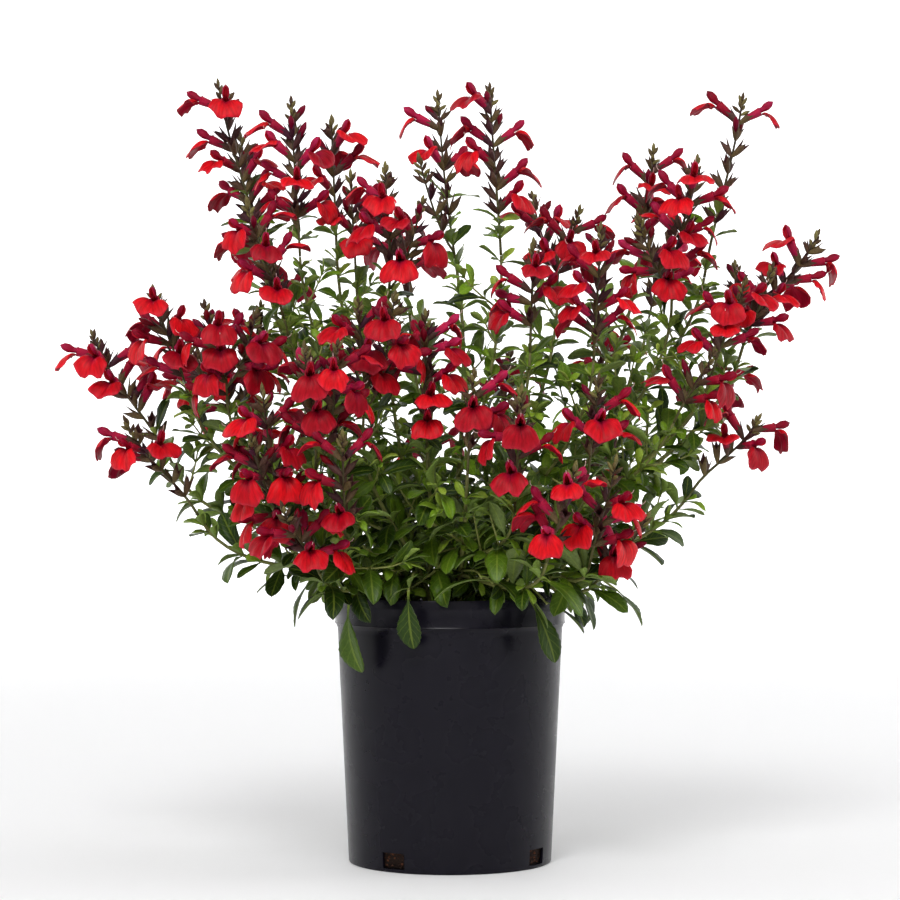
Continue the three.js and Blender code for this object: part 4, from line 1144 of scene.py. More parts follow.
def blade_points(leaf, key, s, side, tooth, blunt, share):
    """A blade that is channelled, arched, toothed, and twisted a little."""
    long, wide = leaf.scale[:2] * (1, LEAF_WIDER) * share
    toothed = (np.arange(len(s)) % 2 == 1)[:, None] & (s > 0.3)
    half = leaf_outline(s, blunt) * (1 - tooth * toothed) * wide / 2
    y = side * half
    droop = BLADE_DROOP[0] + spread(key + 51, BLADE_DROOP[1])
    arch = long * (BLADE_RISE * s - droop * s**2)
    fold = 0.08 + noise(key + 52) * 0.38
    ripple = np.sin(s * 9 + key) * side**2 * BLADE_RIPPLE * half
    lift = fold * np.abs(y) + ripple
    twist = spread(key + 53, BLADE_TWIST) * s**2
    across = y * np.cos(twist) - lift * np.sin(twist)
    z = arch + y * np.sin(twist) + lift * np.cos(twist)
    return np.stack(np.broadcast_arrays(s * long, across, z), -1)


def add_blade(piece, leaf, key, size, greens, tooth=TOOTH_DEPTH, blunt=0.0, share=(1, 1)):
    """A leaf: its blade and petiole in one thin body, green above and paler below."""
    rows, columns = size
    s = 1 - np.linspace(1, 0, rows)[:, None] ** TIP_CROWDING
    side = np.linspace(-1, 1, columns)[None]
    grid = seated(leaf, blade_points(leaf, key, s, side, tooth, blunt, share))
    low = lowness(leaf.foot)
    # painted shade: leaves lower in the bush are darker green
    shade = mix(*greens, noise(key + 54) ** 1.4 * (1.1 - LOW_LEAF_PAINTED_SHADE * low))
    shade = shade * (1 - LOW_LEAF_PAINTED_DARKNESS * low * noise(key + 57))
    petiole = np.clip(1 - s * 5, 0, 1)[..., None]
    upper = mix(shade, LEAF_YOUNG, petiole * 0.7)
    lower = mix(LEAF_UNDER, shade, 0.4)
    thickness = np.maximum(PETIOLE_THICKNESS * (1 - s * 4), BLADE_THICKNESS)[..., None]
    piece.add_sheet(grid, thickness, upper, lower, "leaf", blade=marks_of(s, side, noise(key + 55)))


def add_fine_blades(piece, leaves):
    for leaf, key in leaves:
        if leaf.scale[0] < TUFT_LENGTH[1] * 1.2:
            add_blade(piece, leaf, key, TUFT_GRID, YOUNG_GREENS, tooth=0)
        else:
            add_blade(piece, leaf, key, FINE_GRID, DARK_GREENS)


# ---- fine flowers
def arc(a, b, c, t):
    """Points and upward normals of a curve in the xz plane with one handle."""
    a, b, c = map(np.array, (a, b, c))
    t = t[:, None]
    path = a * (1 - t) ** 2 + b * 2 * t * (1 - t) + c * t**2
    way = (b - a) * (1 - t) + (c - b) * t
    way /= np.linalg.norm(way, axis=1, keepdims=True)
    return path, np.stack([-way[:, 1], way[:, 0]], 1)


def hoop_grid(path, ups, wide, high, angles):
    """Hoops round a path in the xz plane, which start at the top and turn towards +y."""
    rise = high[:, None] * np.cos(angles)
    x = path[:, :1] + ups[:, :1] * rise
    z = path[:, 1:] + ups[:, 1:] * rise
    return np.stack([x, wide[:, None] * np.sin(angles), z], -1)


def spindle(piece, organ, base, tip, radii, tint, stuff, sides=6):
    """A round body on a line in the organ's xz plane, such as a bud."""
    middle = (np.array(base) + np.array(tip)) / 2
    path, ups = arc(base, middle, tip, np.linspace(0, 1, len(radii)))
    radii = np.array(radii)
    piece.add_tube(seated(organ, hoop_grid(path, ups, radii, radii, round_angles(sides))), tint, stuff)


CALYX_RISE = math.radians(RISE + 2)
CALYX_SWELL = ([0, 0.15, 0.45, 0.75, 1], [0.05, 0.1, 0.2, 0.25, 0.265])  # the radius along it
CALYX_TOOTH_ANGLES = (0, 120, 240)
CALYX_TOOTH_HALF = 56  # half of the angle that a tooth takes up
CALYX_TOOTH_FLARE = 0.22
CALYX_WALL = 0.35
OLIVE_SHARE = 0.75  # of the colour, at most


def add_calyx(piece, organ, size, grid, key, girth=1.0):
    """A ribbed funnel with one sharp tooth above and two below."""
    columns, rows = grid
    angles = round_angles(columns)
    off = [(np.degrees(angles) - tooth + 180) % 360 - 180 for tooth in CALYX_TOOTH_ANGLES]
    tooth = np.clip(1 - np.abs(off).min(0) / CALYX_TOOTH_HALF, 0, 1)
    t = np.linspace(0, 1, rows)[:, None]
    ribs = 1 + 0.05 * np.cos(angles * columns / 2)
    radius = np.interp(t, *CALYX_SWELL) * size * girth * ribs * (1 + CALYX_TOOTH_FLARE * tooth * t**8)
    along = size * (0.7 + 0.5 * tooth * t) * t
    up = radius * np.cos(angles)
    x = along * math.cos(CALYX_RISE) - up * math.sin(CALYX_RISE)
    z = along * math.sin(CALYX_RISE) + up * math.cos(CALYX_RISE)
    funnel = seated(organ, np.stack([x, radius * np.sin(angles), z], -1))
    olive = ((OLIVE_SHARE * noise(key + 61)) * (1 - 0.5 * t) * np.ones(columns))[..., None]
    outside = mix(mix(CALYX_DARK, CALYX_PURPLE, noise(key + 62)), CALYX_OLIVE, olive)
    piece.add_sheet(funnel, CALYX_WALL, outside, CALYX_DARK * 1.3, "calyx", wrap=True)


TUBE_WAY = ((3.5, 3.6), (9.2, 7.8), THROAT)
TUBE_RADII = ([0, 0.35, 0.7, 1], [1.6, 2.5, 3.1, 3.3])
TUBE_SIDES = 10
HOOD_WAY = ((14.0, 12.0), (19.4, 14.4), (24.4, 21.2))
HOOD_WIDE = ([0, 0.22, 0.62, 0.86, 1], [3.2, 1.8, 2.8, 2.2, 0.4])
HOOD_HIGH = ([0, 0.22, 0.62, 0.86, 1], [3.2, 2.0, 4.0, 3.0, 0.4])
HOOD_HALF_ANGLE = 130
THREAD_WAY = ((23.2, 20.6), (26.4, 21.6), (26.6, 24.6))
THREAD_RADIUS = 0.22


def add_tube(piece, organ, rose, key):
    t = np.linspace(0, 1, 6)
    angles = round_angles(TUBE_SIDES)
    radii = np.interp(t, *TUBE_RADII)
    grid = seated(organ, hoop_grid(*arc(*TUBE_WAY, t), radii, radii, angles), organ.scale[0])
    top = np.cos(angles)[None]
    # painted highlight: paler towards the throat, most of all on the tube's upper side
    outside = mix(rose, PAINTED_LIGHT_ROSE, 0.5 * t[:, None, None] * (0.6 + 0.4 * top)[..., None])
    marks = marks_of(t[:, None], top, noise(key + 86))
    # painted light: the inside is pale rose to brighten its shaded hollow
    piece.add_sheet(grid, 0.4, outside, PAINTED_LIGHT_ROSE, "petal", wrap=True, blade=marks)


def add_hood(piece, organ, rose, key):
    t = np.linspace(0, 1, 8)
    span = np.radians(np.linspace(-HOOD_HALF_ANGLE, HOOD_HALF_ANGLE, 8))
    hood = hoop_grid(*arc(*HOOD_WAY, t), np.interp(t, *HOOD_WIDE), np.interp(t, *HOOD_HIGH), span)
    outside = mix(rose, CRIMSON, 0.5 * np.sin(t * 3)[:, None, None] ** 2)
    marks = marks_of(t[:, None], span[None] / 3, noise(key + 86))
    # painted light: the inside is pale rose to brighten its shaded hollow
    piece.add_sheet(seated(organ, hood, organ.scale[0]), 0.45, outside, PAINTED_LIGHT_ROSE, "petal", blade=marks)


def add_thread(piece, organ):
    """The pale style that stands out of the hood's tip."""
    t = np.linspace(0, 1, 5)
    thin = np.full(len(t), THREAD_RADIUS)
    thread = hoop_grid(*arc(*THREAD_WAY, t), thin, thin, round_angles(3))
    piece.add_tube(seated(organ, thread, organ.scale[0]), THREAD, "petal")


def add_corolla(piece, organ, key):
    """The tube, the hood with its thread and the two-lobed lip."""
    red = mix(SCARLET, CRIMSON, noise(key + 71) ** 1.8 * 0.95)
    rose = mix(MAGENTA, CRIMSON, noise(key + 72) * 0.7) * (0.6 + 0.5 * noise(key + 87))
    rose = mix(rose, PINK, max(noise(key + 88) * 1.7 - 1, 0))
    add_tube(piece, organ, rose, key)
    add_hood(piece, organ, rose, key)
    add_thread(piece, organ)
    add_lip(piece, organ, red, rose, key)


LIP_ROWS = np.array([0, 0.13, 0.28, 0.44, 0.6, 0.76, 0.9, 1])[:, None]
LIP_COLUMNS = 21
LIP_HALF_ANGLE = math.radians(150)
LIP_MIDDLE = 8.0  # how far in front of the throat the two lobes meet
LIP_START = (16.4, 9.9)
LIP_STEPS = 42
LIP_STEP = 0.5
LIP_CLIMB = 14  # degrees, where it leaves the throat
LIP_DROOP = (66, 34)  # degrees, the middle of the range and its reach
LIP_NECK = 2.9  # half its width at the throat
LIP_CUP = (0.004, 0.034)  # how much the lobes' sides droop
LIP_THICKNESS = 0.5
LOBE_HEADING = math.radians(56)
LOBE_OFF = (4.4, 6.4)  # from where the lobes meet to the middle of each
LOBE_RADIUS = 8.1
LOBE_DOME = 2.0


def lip_course(droop):
    """The lip's middle line in the xz plane: out of the throat, then over and down."""
    share = np.arange(LIP_STEPS) / LIP_STEPS
    heading = np.radians(LIP_CLIMB - (LIP_CLIMB + droop) * share**0.55)
    x = LIP_START[0] + np.cumsum(np.cos(heading)) * LIP_STEP
    z = LIP_START[1] + np.cumsum(np.sin(heading)) * LIP_STEP
    return np.arange(LIP_STEPS) * LIP_STEP, x, z


def lobed(theta, off, radius):
    """How far the edge of two round lobes is from the point where they meet."""
    turn = np.abs(theta) - LOBE_HEADING
    return off * np.cos(turn) + np.sqrt(radius**2 - (off * np.sin(turn)) ** 2)


def lip_points(theta, key):
    """Narrow at the throat, then two broad ruffled lobes with a notch between."""
    ruffle = 1 + 0.05 * np.sin(theta * (6 + noise(key + 77)) + key)
    far = lobed(theta, mix(*LOBE_OFF, noise(key + 85)), LOBE_RADIUS + spread(key + 73, 0.6)) * ruffle
    run = LIP_ROWS * np.maximum(LIP_MIDDLE + far * np.cos(theta), 1)
    y = (1 - LIP_ROWS) * LIP_NECK * theta / LIP_HALF_ANGLE + LIP_ROWS * far * np.sin(theta)
    runs, xs, zs = lip_course(LIP_DROOP[0] + spread(key + 74, LIP_DROOP[1]))
    dome = (0.26 + spread(key + 75, 0.1)) * np.abs(y) - mix(*LIP_CUP, noise(key + 76)) * y**2
    wave = 1.3 * np.sin(theta * (4.4 + noise(key + 78) * 2) + key * 1.7) * LIP_ROWS**2
    crimp = 0.45 * np.sin(theta * 7.5 + key * 2.3) * LIP_ROWS**4
    lobes = LOBE_DOME * np.abs(np.sin(theta * 1.4)) * 4 * LIP_ROWS * (1 - LIP_ROWS)
    z = np.interp(run, runs, zs) + dome + wave + crimp + lobes
    return np.stack([np.interp(run, runs, xs), y, z + spread(key + 79, 0.16) * y], -1)


def add_lip(piece, organ, red, rose, key):
    """The lower lip, with painted shade towards the throat and a painted glint along its edge."""
    theta = np.linspace(-1, 1, LIP_COLUMNS)[None] * LIP_HALF_ANGLE
    # painted shade: the lip is darker towards the throat
    throat_shade = np.clip(1 - LIP_ROWS * (1.5 + 0.8 * np.abs(theta)), 0, 1)[..., None]
    # a painted glint along the lip's edge
    edge_glint = np.clip(LIP_ROWS * 8 - 7, 0, 1)[..., None] * 0.4
    upper = mix(mix(red, rose * 0.6, throat_shade), PETAL_GLINT, edge_glint)
    lower = mix(red, MAGENTA, 0.5) * 0.85
    lip = seated(organ, lip_points(theta, key), organ.scale[0])
    marks = marks_of(LIP_ROWS, theta / LIP_HALF_ANGLE, noise(key + 86))
    piece.add_sheet(lip, LIP_THICKNESS, upper, lower, "petal", blade=marks)


YOUNG_SPAN = (0.5, 1.7)  # from the calyx's foot, as shares of its length
YOUNG_RADII = [1.3, 1.7, 2.3, 2.3, 0.6]


def add_young_corolla(piece, organ, key):
    """A flower that is still a closed club."""
    reach = organ.scale[0] * np.array([math.cos(CALYX_RISE), math.sin(CALYX_RISE)])
    base, tip = (reach * share for share in YOUNG_SPAN)
    tint = mix(CRIMSON, MAGENTA, noise(key + 82)) * 0.55
    spindle(piece, organ, base, tip, YOUNG_RADII, tint, "petal", 8)


BUD_SPREAD = [(0, 90), (0, 62), (180, 62), (90, 48), (270, 48), (40, 34), (220, 34)]  # turn and rise
BUD_RADII = [0.5, 1.1, 1.5, 1.1, 0.12]
BUD_STEP = 1.7  # between the buds' feet


def add_buds(piece, stem, key):
    """The cluster of pointed buds at the tip of a spike."""
    at, way = stem.curve(stem.total)
    for i, (turn, rise) in enumerate(BUD_SPREAD):
        bud = Frame(at - way * (BUD_STEP * i), between(*stem.sides(way), turn + key * 37), way, [1, 1, 1])
        long = BUD_LENGTH * (0.85 + 0.25 * noise(key + i))
        tip = (math.cos(math.radians(rise)) * long, math.sin(math.radians(rise)) * long)
        tint = mix(BUD_OLIVE, CALYX_DARK, noise(key + 20 + i) * 0.9)
        spindle(piece, bud, (0, 0), tip, BUD_RADII, tint, "calyx")


# ---- finishes
def wired(tree, kind, inputs=(), **settings):
    """A shader node, with its inputs set to numbers or linked to other nodes' outputs."""
    node = tree.nodes.new(kind)
    for name, value in settings.items():
        setattr(node, name, value)
    for name, value in dict(inputs).items():
        if isinstance(value, bpy.types.NodeSocket):
            tree.links.new(value, node.inputs[name])
        else:
            node.inputs[name].default_value = value
    return node


def maths(tree, operation, a, b=0.0):
    return wired(tree, "ShaderNodeMath", {0: a, 1: b}, operation=operation).outputs[0]


def map_range(tree, value, start, end, low, high, kind="LINEAR"):
    inputs = {"Value": value, "From Min": start, "From Max": end, "To Min": low, "To Max": high}
    return wired(tree, "ShaderNodeMapRange", inputs, interpolation_type=kind).outputs["Result"]


def attribute(tree, name, output):
    return wired(tree, "ShaderNodeAttribute", attribute_name=name).outputs[output]


def noise_of(tree, scale, detail=2.0):
    """A noise that lies still on the piece."""
    place = wired(tree, "ShaderNodeTexCoord").outputs["Object"]
    inputs = {"Vector": place, "Scale": scale, "Detail": detail}
    return wired(tree, "ShaderNodeTexNoise", inputs).outputs["Fac"]


def tinted(tree, grain, low, high):
    """The tint of the mesh, made darker and lighter by a fine grain."""
    inputs = {0: attribute(tree, "tint", "Color"), "Scale": map_range(tree, grain, 0.3, 0.7, low, high)}
    return wired(tree, "ShaderNodeVectorMath", inputs, operation="SCALE").outputs["Vector"]


def new_finish(name, roughness, specular):
    """A material with its node tree and its shader's inputs."""
    material = bpy.data.materials.new(name)
    material.use_nodes = True
    inputs = material.node_tree.nodes["Principled BSDF"].inputs
    inputs["Roughness"].default_value = roughness
    inputs["Specular IOR Level"].default_value = specular
    return material, material.node_tree, inputs


def finish_surface(tree, inputs, colour, height, strength, distance):
    """Links the shader's colour, and its relief from a height."""
    settings = {"Strength": strength, "Distance": distance, "Height": height}
    tree.links.new(colour, inputs["Base Color"])
    tree.links.new(wired(tree, "ShaderNodeBump", settings).outputs["Normal"], inputs["Normal"])


def grained_finish(name, roughness, scale, shades, strength):
    """A finish whose colour is the mesh's tint, with a fine grain in tone and relief."""
    material, tree, inputs = new_finish(name, roughness, 0.2)
    grain = noise_of(tree, scale)
    finish_surface(tree, inputs, tinted(tree, grain, *shades), grain, strength, 0.0004)
    return material


PETAL_STREAKS = (2.4, 13, 40)  # how often the tone changes along a petal, across it and between them


def petal_finish():
    """Soft petals with fine streaks from the throat to the edge, as colour and as relief."""
    material, tree, inputs = new_finish("petal", 0.45, 0.11)
    parts = {0: attribute(tree, "blade", "Vector"), 1: PETAL_STREAKS}
    place = wired(tree, "ShaderNodeVectorMath", parts, operation="MULTIPLY").outputs["Vector"]
    streaks = wired(tree, "ShaderNodeTexNoise", {"Vector": place, "Scale": 1}).outputs["Fac"]
    finish_surface(tree, inputs, tinted(tree, streaks, 0.66, 1.14), streaks, 0.7, 0.0006)
    return material


VEIN_PAIRS = 7
VEIN_SLANT = 1.7
VEIN_WIDTH = 0.07
VEIN_TONE = 0.1
MIDRIB_WIDTH = 0.09
MIDRIB_TONE = 0.25


def leaf_lines(tree):
    """How pale each place on a blade is: a midrib, and side veins that slant from it."""
    inputs = {0: attribute(tree, "blade", "Vector")}
    along, across, _ = wired(tree, "ShaderNodeSeparateXYZ", inputs).outputs
    off = maths(tree, "ABSOLUTE", across)
    slant = maths(tree, "MULTIPLY", off, -VEIN_SLANT)
    row = maths(tree, "ADD", maths(tree, "MULTIPLY", along, VEIN_PAIRS), slant)
    wave = maths(tree, "ABSOLUTE", maths(tree, "SUBTRACT", maths(tree, "FRACT", row), 0.5))
    vein = maths(tree, "MULTIPLY", maths(tree, "LESS_THAN", wave, VEIN_WIDTH), VEIN_TONE)
    midrib = maths(tree, "MULTIPLY", maths(tree, "LESS_THAN", off, MIDRIB_WIDTH), MIDRIB_TONE)
    return maths(tree, "MAXIMUM", vein, midrib)


def leaf_finish():
    """Green with pale veins that sink into the blade."""
    material, tree, inputs = new_finish("leaf", 0.38, 0.2)
    grain = noise_of(tree, 600)
    lines = leaf_lines(tree)
    lighter = wired(tree, "ShaderNodeMix", {"Factor": lines}, data_type="RGBA")
    green, pale = [socket for socket in lighter.inputs if socket.type == "RGBA"]
    tree.links.new(tinted(tree, grain, 0.8, 1.2), green)
    pale.default_value = (*LEAF_YOUNG, 1)
    colour = next(socket for socket in lighter.outputs if socket.type == "RGBA")
    relief = maths(tree, "MULTIPLY", grain, 0.4)
    height = maths(tree, "SUBTRACT", relief, maths(tree, "MULTIPLY", lines, 2.0))
    finish_surface(tree, inputs, colour, height, 0.5, 0.0005)
    return material


def pot_finish():
    """Black moulded plastic with a satin surface, a little scuffed."""
    material, tree, inputs = new_finish("pot", 0.36, 0.15)
    inputs["Base Color"].default_value = (*POT_BLACK, 1)
    tree.links.new(map_range(tree, noise_of(tree, 45, 4), 0.3, 0.7, 0.23, 0.33), inputs["Roughness"])
    grain = {"Height": noise_of(tree, 900), "Strength": 0.12, "Distance": 0.0002}
    tree.links.new(wired(tree, "ShaderNodeBump", grain).outputs["Normal"], inputs["Normal"])
    return material


FINISHES = {
    "stem": grained_finish("stem", 0.55, 500, (0.8, 1.2), 0.4),
    "leaf": leaf_finish(),
    "petal": petal_finish(),
    "calyx": grained_finish("calyx", 0.6, 1100, (0.75, 1.25), 0.4),
    "pot": pot_finish(),
    "soil": grained_finish("soil", 0.95, 700, (0.6, 1.4), 0.8),
}


# ---- the pot
POT_TURNS = 120
WINDOW_HALF = math.degrees(math.asin(WINDOW_WIDTH / 2 / POT_BASE_RADIUS))
WINDOW_FOOT = POT_FLOOR + 0.2
LEDGE_PROUD = 0.6  # the edge under the rim band
BEAD_PROUD = 0.2
WALL_HEIGHTS = (WINDOW_FOOT, WINDOW_TOP, 40, 80, 125)
BASE_OUTLINE = [(0, 0.8), (60, 0.8), (66, 0), (POT_BASE_RADIUS - 1.2, 0), (POT_BASE_RADIUS - 0.3, 0.4)]


def wall_radius(z):
    return POT_BASE_RADIUS + (POT_TOP_RADIUS - POT_BASE_RADIUS) * z / (POT_HEIGHT - RIM_HEIGHT)


def inner_radius(z):
    return wall_radius(z) - POT_WALL


def rim_outline(band):
    """The ledge under the rim band, the bead and the rounded mouth."""
    bead = POT_HEIGHT - BEAD_DROP
    ledge = [(POT_TOP_RADIUS, band), (POT_TOP_RADIUS + 0.4, band + 0.5), (RIM_RADIUS - 0.5, band + 2.6)]
    ledge += [(RIM_RADIUS + LEDGE_PROUD, band + 3.4), (RIM_RADIUS, band + 4.6)]
    ridge = [(RIM_RADIUS, bead - 1), (RIM_RADIUS + BEAD_PROUD, bead), (RIM_RADIUS, bead + 1)]
    mouth = [(RIM_RADIUS, POT_HEIGHT - 1), (RIM_RADIUS - 0.3, POT_HEIGHT - 0.3)]
    mouth += [(RIM_RADIUS - 1, POT_HEIGHT), (RIM_RADIUS - POT_WALL - 0.2, POT_HEIGHT - 0.2)]
    return ledge + ridge + mouth + [(RIM_RADIUS - POT_WALL - 0.4, band + 1.5)]


def pot_profile():
    """Radius and height from the middle of the base, up the wall, over the rim and down inside."""
    band = POT_HEIGHT - RIM_HEIGHT
    outside = [(wall_radius(z), z) for z in (1.3, *WALL_HEIGHTS, band - 3)]
    inside = [(inner_radius(z), z) for z in (band - 2, *WALL_HEIGHTS[::-1])]
    floor = [(inner_radius(POT_FLOOR) - 1, POT_FLOOR), (0, POT_FLOOR)]
    return np.array(BASE_OUTLINE + outside + rim_outline(band) + inside + floor)


def off_by(a, b):
    """The angle between two turns, in degrees."""
    return abs((a - b + 180) % 360 - 180)


def pot_angles():
    """The turns of the pot's columns of points, and which columns are in a drain window."""
    windows = [WINDOW_FIRST_ANGLE + 90 * i for i in range(4)]
    edges = {round((w + side * WINDOW_HALF) % 360, 4) for w in windows for side in FIFTHS}
    even = {round(i * 360 / POT_TURNS, 4) for i in range(POT_TURNS)}
    even = {a for a in even if min(off_by(a, e) for e in edges) > 1}
    angles = np.array(sorted(edges | even))
    middles = (angles + (np.roll(angles, -1) - angles) % 360 / 2) % 360
    return angles, np.array([min(off_by(m, w) for w in windows) < WINDOW_HALF for m in middles])


def window_faces(cut, feet, tops):
    """The sill, the head and the two sides of each window, between the wall's two faces."""
    faces = []
    (foot, inner_foot), (top, inner_top) = feet, tops
    for c in np.flatnonzero(cut):
        d = (c + 1) % len(cut)
        faces.append([inner_foot + c, inner_foot + d, foot + d, foot + c])
        faces.append([top + c, top + d, inner_top + d, inner_top + c])
        if not cut[c - 1]:
            faces.append([top + c, inner_top + c, inner_foot + c, foot + c])
        if not cut[d]:
            faces.append([foot + d, inner_foot + d, inner_top + d, top + d])
    return np.array(faces)


def dress_pot():
    """The pot as a turned body, with its drain windows left open."""
    profile = pot_profile()
    angles, cut = pot_angles()
    turns = np.radians(angles)
    rows, columns = len(profile), len(angles)
    radius, height = profile.T[..., None]
    grid = np.stack([radius * np.cos(turns), radius * np.sin(turns), height * np.ones(columns)], -1)
    feet, tops = (np.flatnonzero(profile[:, 1] == z) for z in (WINDOW_FOOT, WINDOW_TOP))
    is_open = cut & np.isin(np.arange(rows - 1), (feet[0], tops[1]))[:, None]
    walls = wall_faces(rows, columns, True)[~is_open.ravel()][:, [0, 3, 2, 1]]
    reveals = window_faces(cut, feet * columns, tops * columns)
    piece = Piece()
    piece.add(grid.reshape(-1, 3), POT_BLACK, [(np.concatenate([walls, reveals]), True)], "pot")
    made = finish_piece(piece, "nursery_pot", ["pot"])
    made.data.set_sharp_from_angle(angle=math.radians(40))


# ---- the potting mix
SOIL_CLEAR = 0.9  # from the pot's wall
SOIL_TURNS = 64
SOIL_RINGS = (72, 60, 48, 36, 24, 12, 3)
CRUMBS = 600
CRUMB_REACH = 76
CRUMB_RADIUS = (0.5, 1.5)
CRUMB_SHAPE = [(1, 0, 0), (0, 1, 0), (-1, 0, 0), (0, -1, 0), (0, 0, 1), (0, 0, -1)]
CRUMB_FACES = [(0, 1, 4), (1, 2, 4), (2, 3, 4), (3, 0, 4), (1, 0, 5), (2, 1, 5), (3, 2, 5), (0, 3, 5)]


def soil_height(radius, turn):
    """Lower at the edge, and a little uneven."""
    hollow = SOIL_TOP - 0.8 - (radius / 78) ** 4 * 4
    return hollow + 0.7 * np.sin(radius * 0.23 + 2 * turn) * np.cos(5 * turn + radius * 0.11)


def add_crumb(piece, radius, turn, z, key):
    shape = np.array(CRUMB_SHAPE) * mix(*CRUMB_RADIUS, noise(key))
    shape = shape * [1 + spread(key + i, 0.35) for i in range(3)]
    c, s = math.cos(noise(key + 4) * math.tau), math.sin(noise(key + 4) * math.tau)
    at = vec(radius * math.cos(turn), radius * math.sin(turn), z)
    tint = mix(SOIL_DARK, SOIL_BROWN, noise(key + 5) ** 2)
    piece.add(at + shape @ vec((c, s, 0), (-s, c, 0), (0, 0, 1)), tint, [(CRUMB_FACES, False)], "soil")


def add_crumbs(piece):
    """Loose crumbs on top and behind the drain windows."""
    for i in range(CRUMBS):
        key = KEYS["crumb"] + i * 7
        radius = CRUMB_REACH * math.sqrt(noise(key))
        turn = noise(key + 1) * math.tau
        add_crumb(piece, radius, turn, soil_height(radius, turn), key + 2)
    for i in range(CRUMBS // 3):
        key = KEYS["window crumb"] + i * 7
        z = mix(POT_FLOOR + 1.5, WINDOW_TOP - 0.5, noise(key))
        turn = math.radians(WINDOW_FIRST_ANGLE + 90 * (i % 4) + spread(key + 1, WINDOW_HALF))
        add_crumb(piece, inner_radius(z) - SOIL_CLEAR - 0.5, turn, z, key + 2)


def dress_soil():
    """A rough body of potting mix that fills the pot."""
    turns = round_angles(SOIL_TURNS)
    foot = POT_FLOOR + GAP
    rows = [(3, foot)] + [(inner_radius(z) - SOIL_CLEAR, z) for z in (foot, WINDOW_TOP, 90, SOIL_EDGE - 4)]
    rows += [(radius, None) for radius in SOIL_RINGS]
    grid = np.array([
        [(r * math.cos(a), r * math.sin(a), soil_height(r, a) if z is None else z) for a in turns]
        for r, z in rows
    ])
    piece = Piece()
    piece.add_tube(grid[:, ::-1], SOIL_DARK, "soil")
    add_crumbs(piece)
    finish_piece(piece, "potting_mix", ["soil"])


# ---- the plant's pieces
STEM_DARK = 0.1  # the share of STEM_HIGH at a stem's foot
STEM_DARKER = 0.6  # the same at the top of a main stem
SPIKE_DARK = 0.7
FLOWER_CALYX = 11.5  # the length of an open flower's calyx
FLOWER_CALYX_GIRTH = 0.9
FINE_CALYX_GIRTH = 0.8
CALYX_GRID = (9, 6)  # columns and rows of points
SPENT_CALYX_GRID = (9, 5)
FINE_CALYX_GRID = (6, 5)
YOUNG_DROP = 4.4 * SPIKE_NODE  # nearer to the tip than this, some calyces hold a closed flower
YOUNG_SHARE = 0.4


def finish_piece(piece, name, nodes):
    made = piece.build(name)
    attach(made, "root")
    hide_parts(*nodes)
    return made


def dress_shoot(shoot, index):
    piece = Piece()
    for stem in shoot.stems + [twig for twig, _ in shoot.side_twigs]:
        darker = STEM_DARKER if stem.kind in (LEADER, BRANCH) else STEM_DARK
        add_stem(piece, stem, mix(STEM_LOW, STEM_HIGH, STEM_DARK), mix(STEM_LOW, STEM_HIGH, darker))
    for i, leaf in enumerate(shoot.leaves):
        add_blade(piece, leaf, index * 100 + i, FINE_GRID, DARK_GREENS)
    add_fine_blades(piece, shoot.fine_leaves)
    for i, leaf in enumerate(shoot.large_leaves):
        add_blade(piece, leaf, index * 30 + i, LARGE_GRID, DARK_GREENS, blunt=1.0, share=LARGE_LEAF_SHARE)
    finish_piece(piece, "leafy_" + shoot.name, [shoot.name])


def dress_spike(spike, index):
    piece = Piece()
    for s, stem in enumerate(spike.stems):
        add_stem(piece, stem, mix(STEM_LOW, STEM_HIGH, SPIKE_DARK), STEM_HIGH)
        add_buds(piece, stem, KEYS["bud"] + index * 90 + s * 40)
    for i, flower in enumerate(spike.flowers):
        key = KEYS["bloom"] + index * 50 + i
        add_calyx(piece, flower, FLOWER_CALYX * flower.scale[0], CALYX_GRID, key, FLOWER_CALYX_GIRTH)
        add_corolla(piece, flower, key)
    for i, calyx in enumerate(spike.calyces):
        key = KEYS["spent calyx"] + index * 50 + i
        add_calyx(piece, calyx, calyx.scale[0], SPENT_CALYX_GRID, key)
    for calyx, key, drop in spike.fine_calyces:
        add_calyx(piece, calyx, calyx.scale[0], FINE_CALYX_GRID, key, FINE_CALYX_GIRTH)
        if drop < YOUNG_DROP and noise(key + 81) < YOUNG_SHARE:
            add_young_corolla(piece, calyx, key)
    add_fine_blades(piece, spike.fine_leaves)
    finish_piece(piece, "flowering_" + spike.name, [spike.name])


# ---- camera, stage and light
CAMERA_DISTANCE = 2.05
CAMERA_HEIGHT = 0.299
CAMERA_LENS = 112.5


def link(name, data, place=(0, 0, 0)):
    made = bpy.data.objects.new(name, data)
    made.location = place
    bpy.context.scene.collection.objects.link(made)
    return made


def make_camera():
    camera = link("camera", bpy.data.cameras.new("camera"), (0, -CAMERA_DISTANCE, CAMERA_HEIGHT))
    camera.data.lens = CAMERA_LENS
    camera.rotation_euler = (math.radians(90), 0, 0)
    bpy.context.scene.camera = camera


STAGE_RADIUS = 4.5
STAGE_CURVE = 2.0
STAGE_TOP = 5.0
STAGE_TURNS = 64
GLOW_BEHIND = (-3.0, 1.0, 0.15, 1.0, "SMOOTHSTEP")  # along y: from, to, and the shares there
GLOW_NEAR = (0.3, 1.7, 0.03, 0.2)  # away from the pot: from, to, and the strengths there
GLOW_FAR = (1.7, 5.0, 0.0, 0.62)


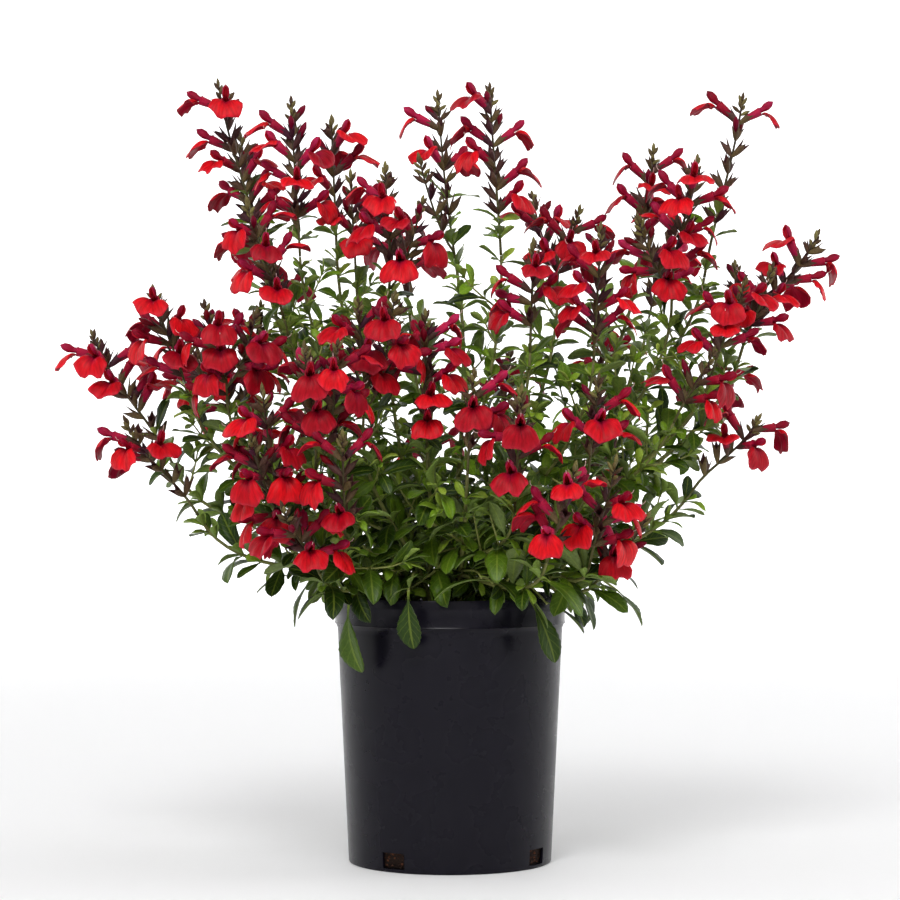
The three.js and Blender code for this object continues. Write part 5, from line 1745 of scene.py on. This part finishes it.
def stage_finish():
    """Pale paper with painted light: it glows more and more towards the back and away from the pot."""
    material, tree, inputs = new_finish("stage", 0.7, 0.2)
    inputs["Base Color"].default_value = (*STAGE_PALE, 1)
    inputs["Emission Color"].default_value = (1, 1, 1, 1)
    place = wired(tree, "ShaderNodeNewGeometry").outputs["Position"]
    away = wired(tree, "ShaderNodeVectorMath", {0: place}, operation="LENGTH").outputs["Value"]
    y = wired(tree, "ShaderNodeSeparateXYZ", {0: place}).outputs["Y"]
    strength = maths(tree, "ADD", map_range(tree, away, *GLOW_NEAR), map_range(tree, away, *GLOW_FAR))
    # painted light: the paper glows, least next to the pot and most far behind it
    painted_glow = maths(tree, "MULTIPLY", map_range(tree, y, *GLOW_BEHIND), strength)
    tree.links.new(painted_glow, inputs["Emission Strength"])
    material.cycles.emission_sampling = "NONE"
    return material


def make_stage():
    """A pale floor that turns up into a wall all round."""
    bend = np.linspace(0, math.pi / 2, 12)
    rims = [(r, 0.0) for r in (0.02, 0.3, 0.8, 1.6, 3.0)]
    rims += [(STAGE_RADIUS + STAGE_CURVE * math.sin(a), STAGE_CURVE * (1 - math.cos(a))) for a in bend]
    rims.append((STAGE_RADIUS + STAGE_CURVE, STAGE_TOP))
    points = [(r * math.cos(a), r * math.sin(a), z) for r, z in rims for a in round_angles(STAGE_TURNS)]
    walls = wall_faces(len(rims), STAGE_TURNS, True)[:, ::-1]
    mesh = bpy.data.meshes.new("stage")
    mesh.from_pydata(points, [], [*walls.tolist(), list(range(STAGE_TURNS))])
    mesh.shade_smooth()
    mesh.materials.append(stage_finish())
    stage = link("stage", mesh)


# Each light: its place, the diameter of its disk and its power.
LIGHTS = {
    "key": ((-0.3, -2.1, 2.3), 1.2, 48),
    "top": ((0.4, -0.2, 2.8), 1.8, 8),
    "side": ((2.3, 0.2, 1.3), 1.2, 6),
}
LIGHT_TARGET = Vector((0, 0, 0.3))
WORLD_STRENGTH = 0.2


def make_lights():
    for name, (place, size, power) in LIGHTS.items():
        light = bpy.data.lights.new(name, "AREA")
        light.shape = "DISK"
        light.size = size
        light.energy = power
        aim = (LIGHT_TARGET - Vector(place)).to_track_quat("-Z", "Y")
        link(name, light, place).rotation_euler = aim.to_euler()
    world = bpy.data.worlds.new("world")
    world.use_nodes = True
    background = world.node_tree.nodes["Background"].inputs
    background["Color"].default_value = (1, 1, 1, 1)
    background["Strength"].default_value = WORLD_STRENGTH
    bpy.context.scene.world = world
    bpy.context.scene.view_settings.view_transform = "Standard"


make_camera()
make_stage()
make_lights()
dress_pot()
dress_soil()
lay_out(shoots, dress_shoot)
lay_out(spikes, dress_spike)
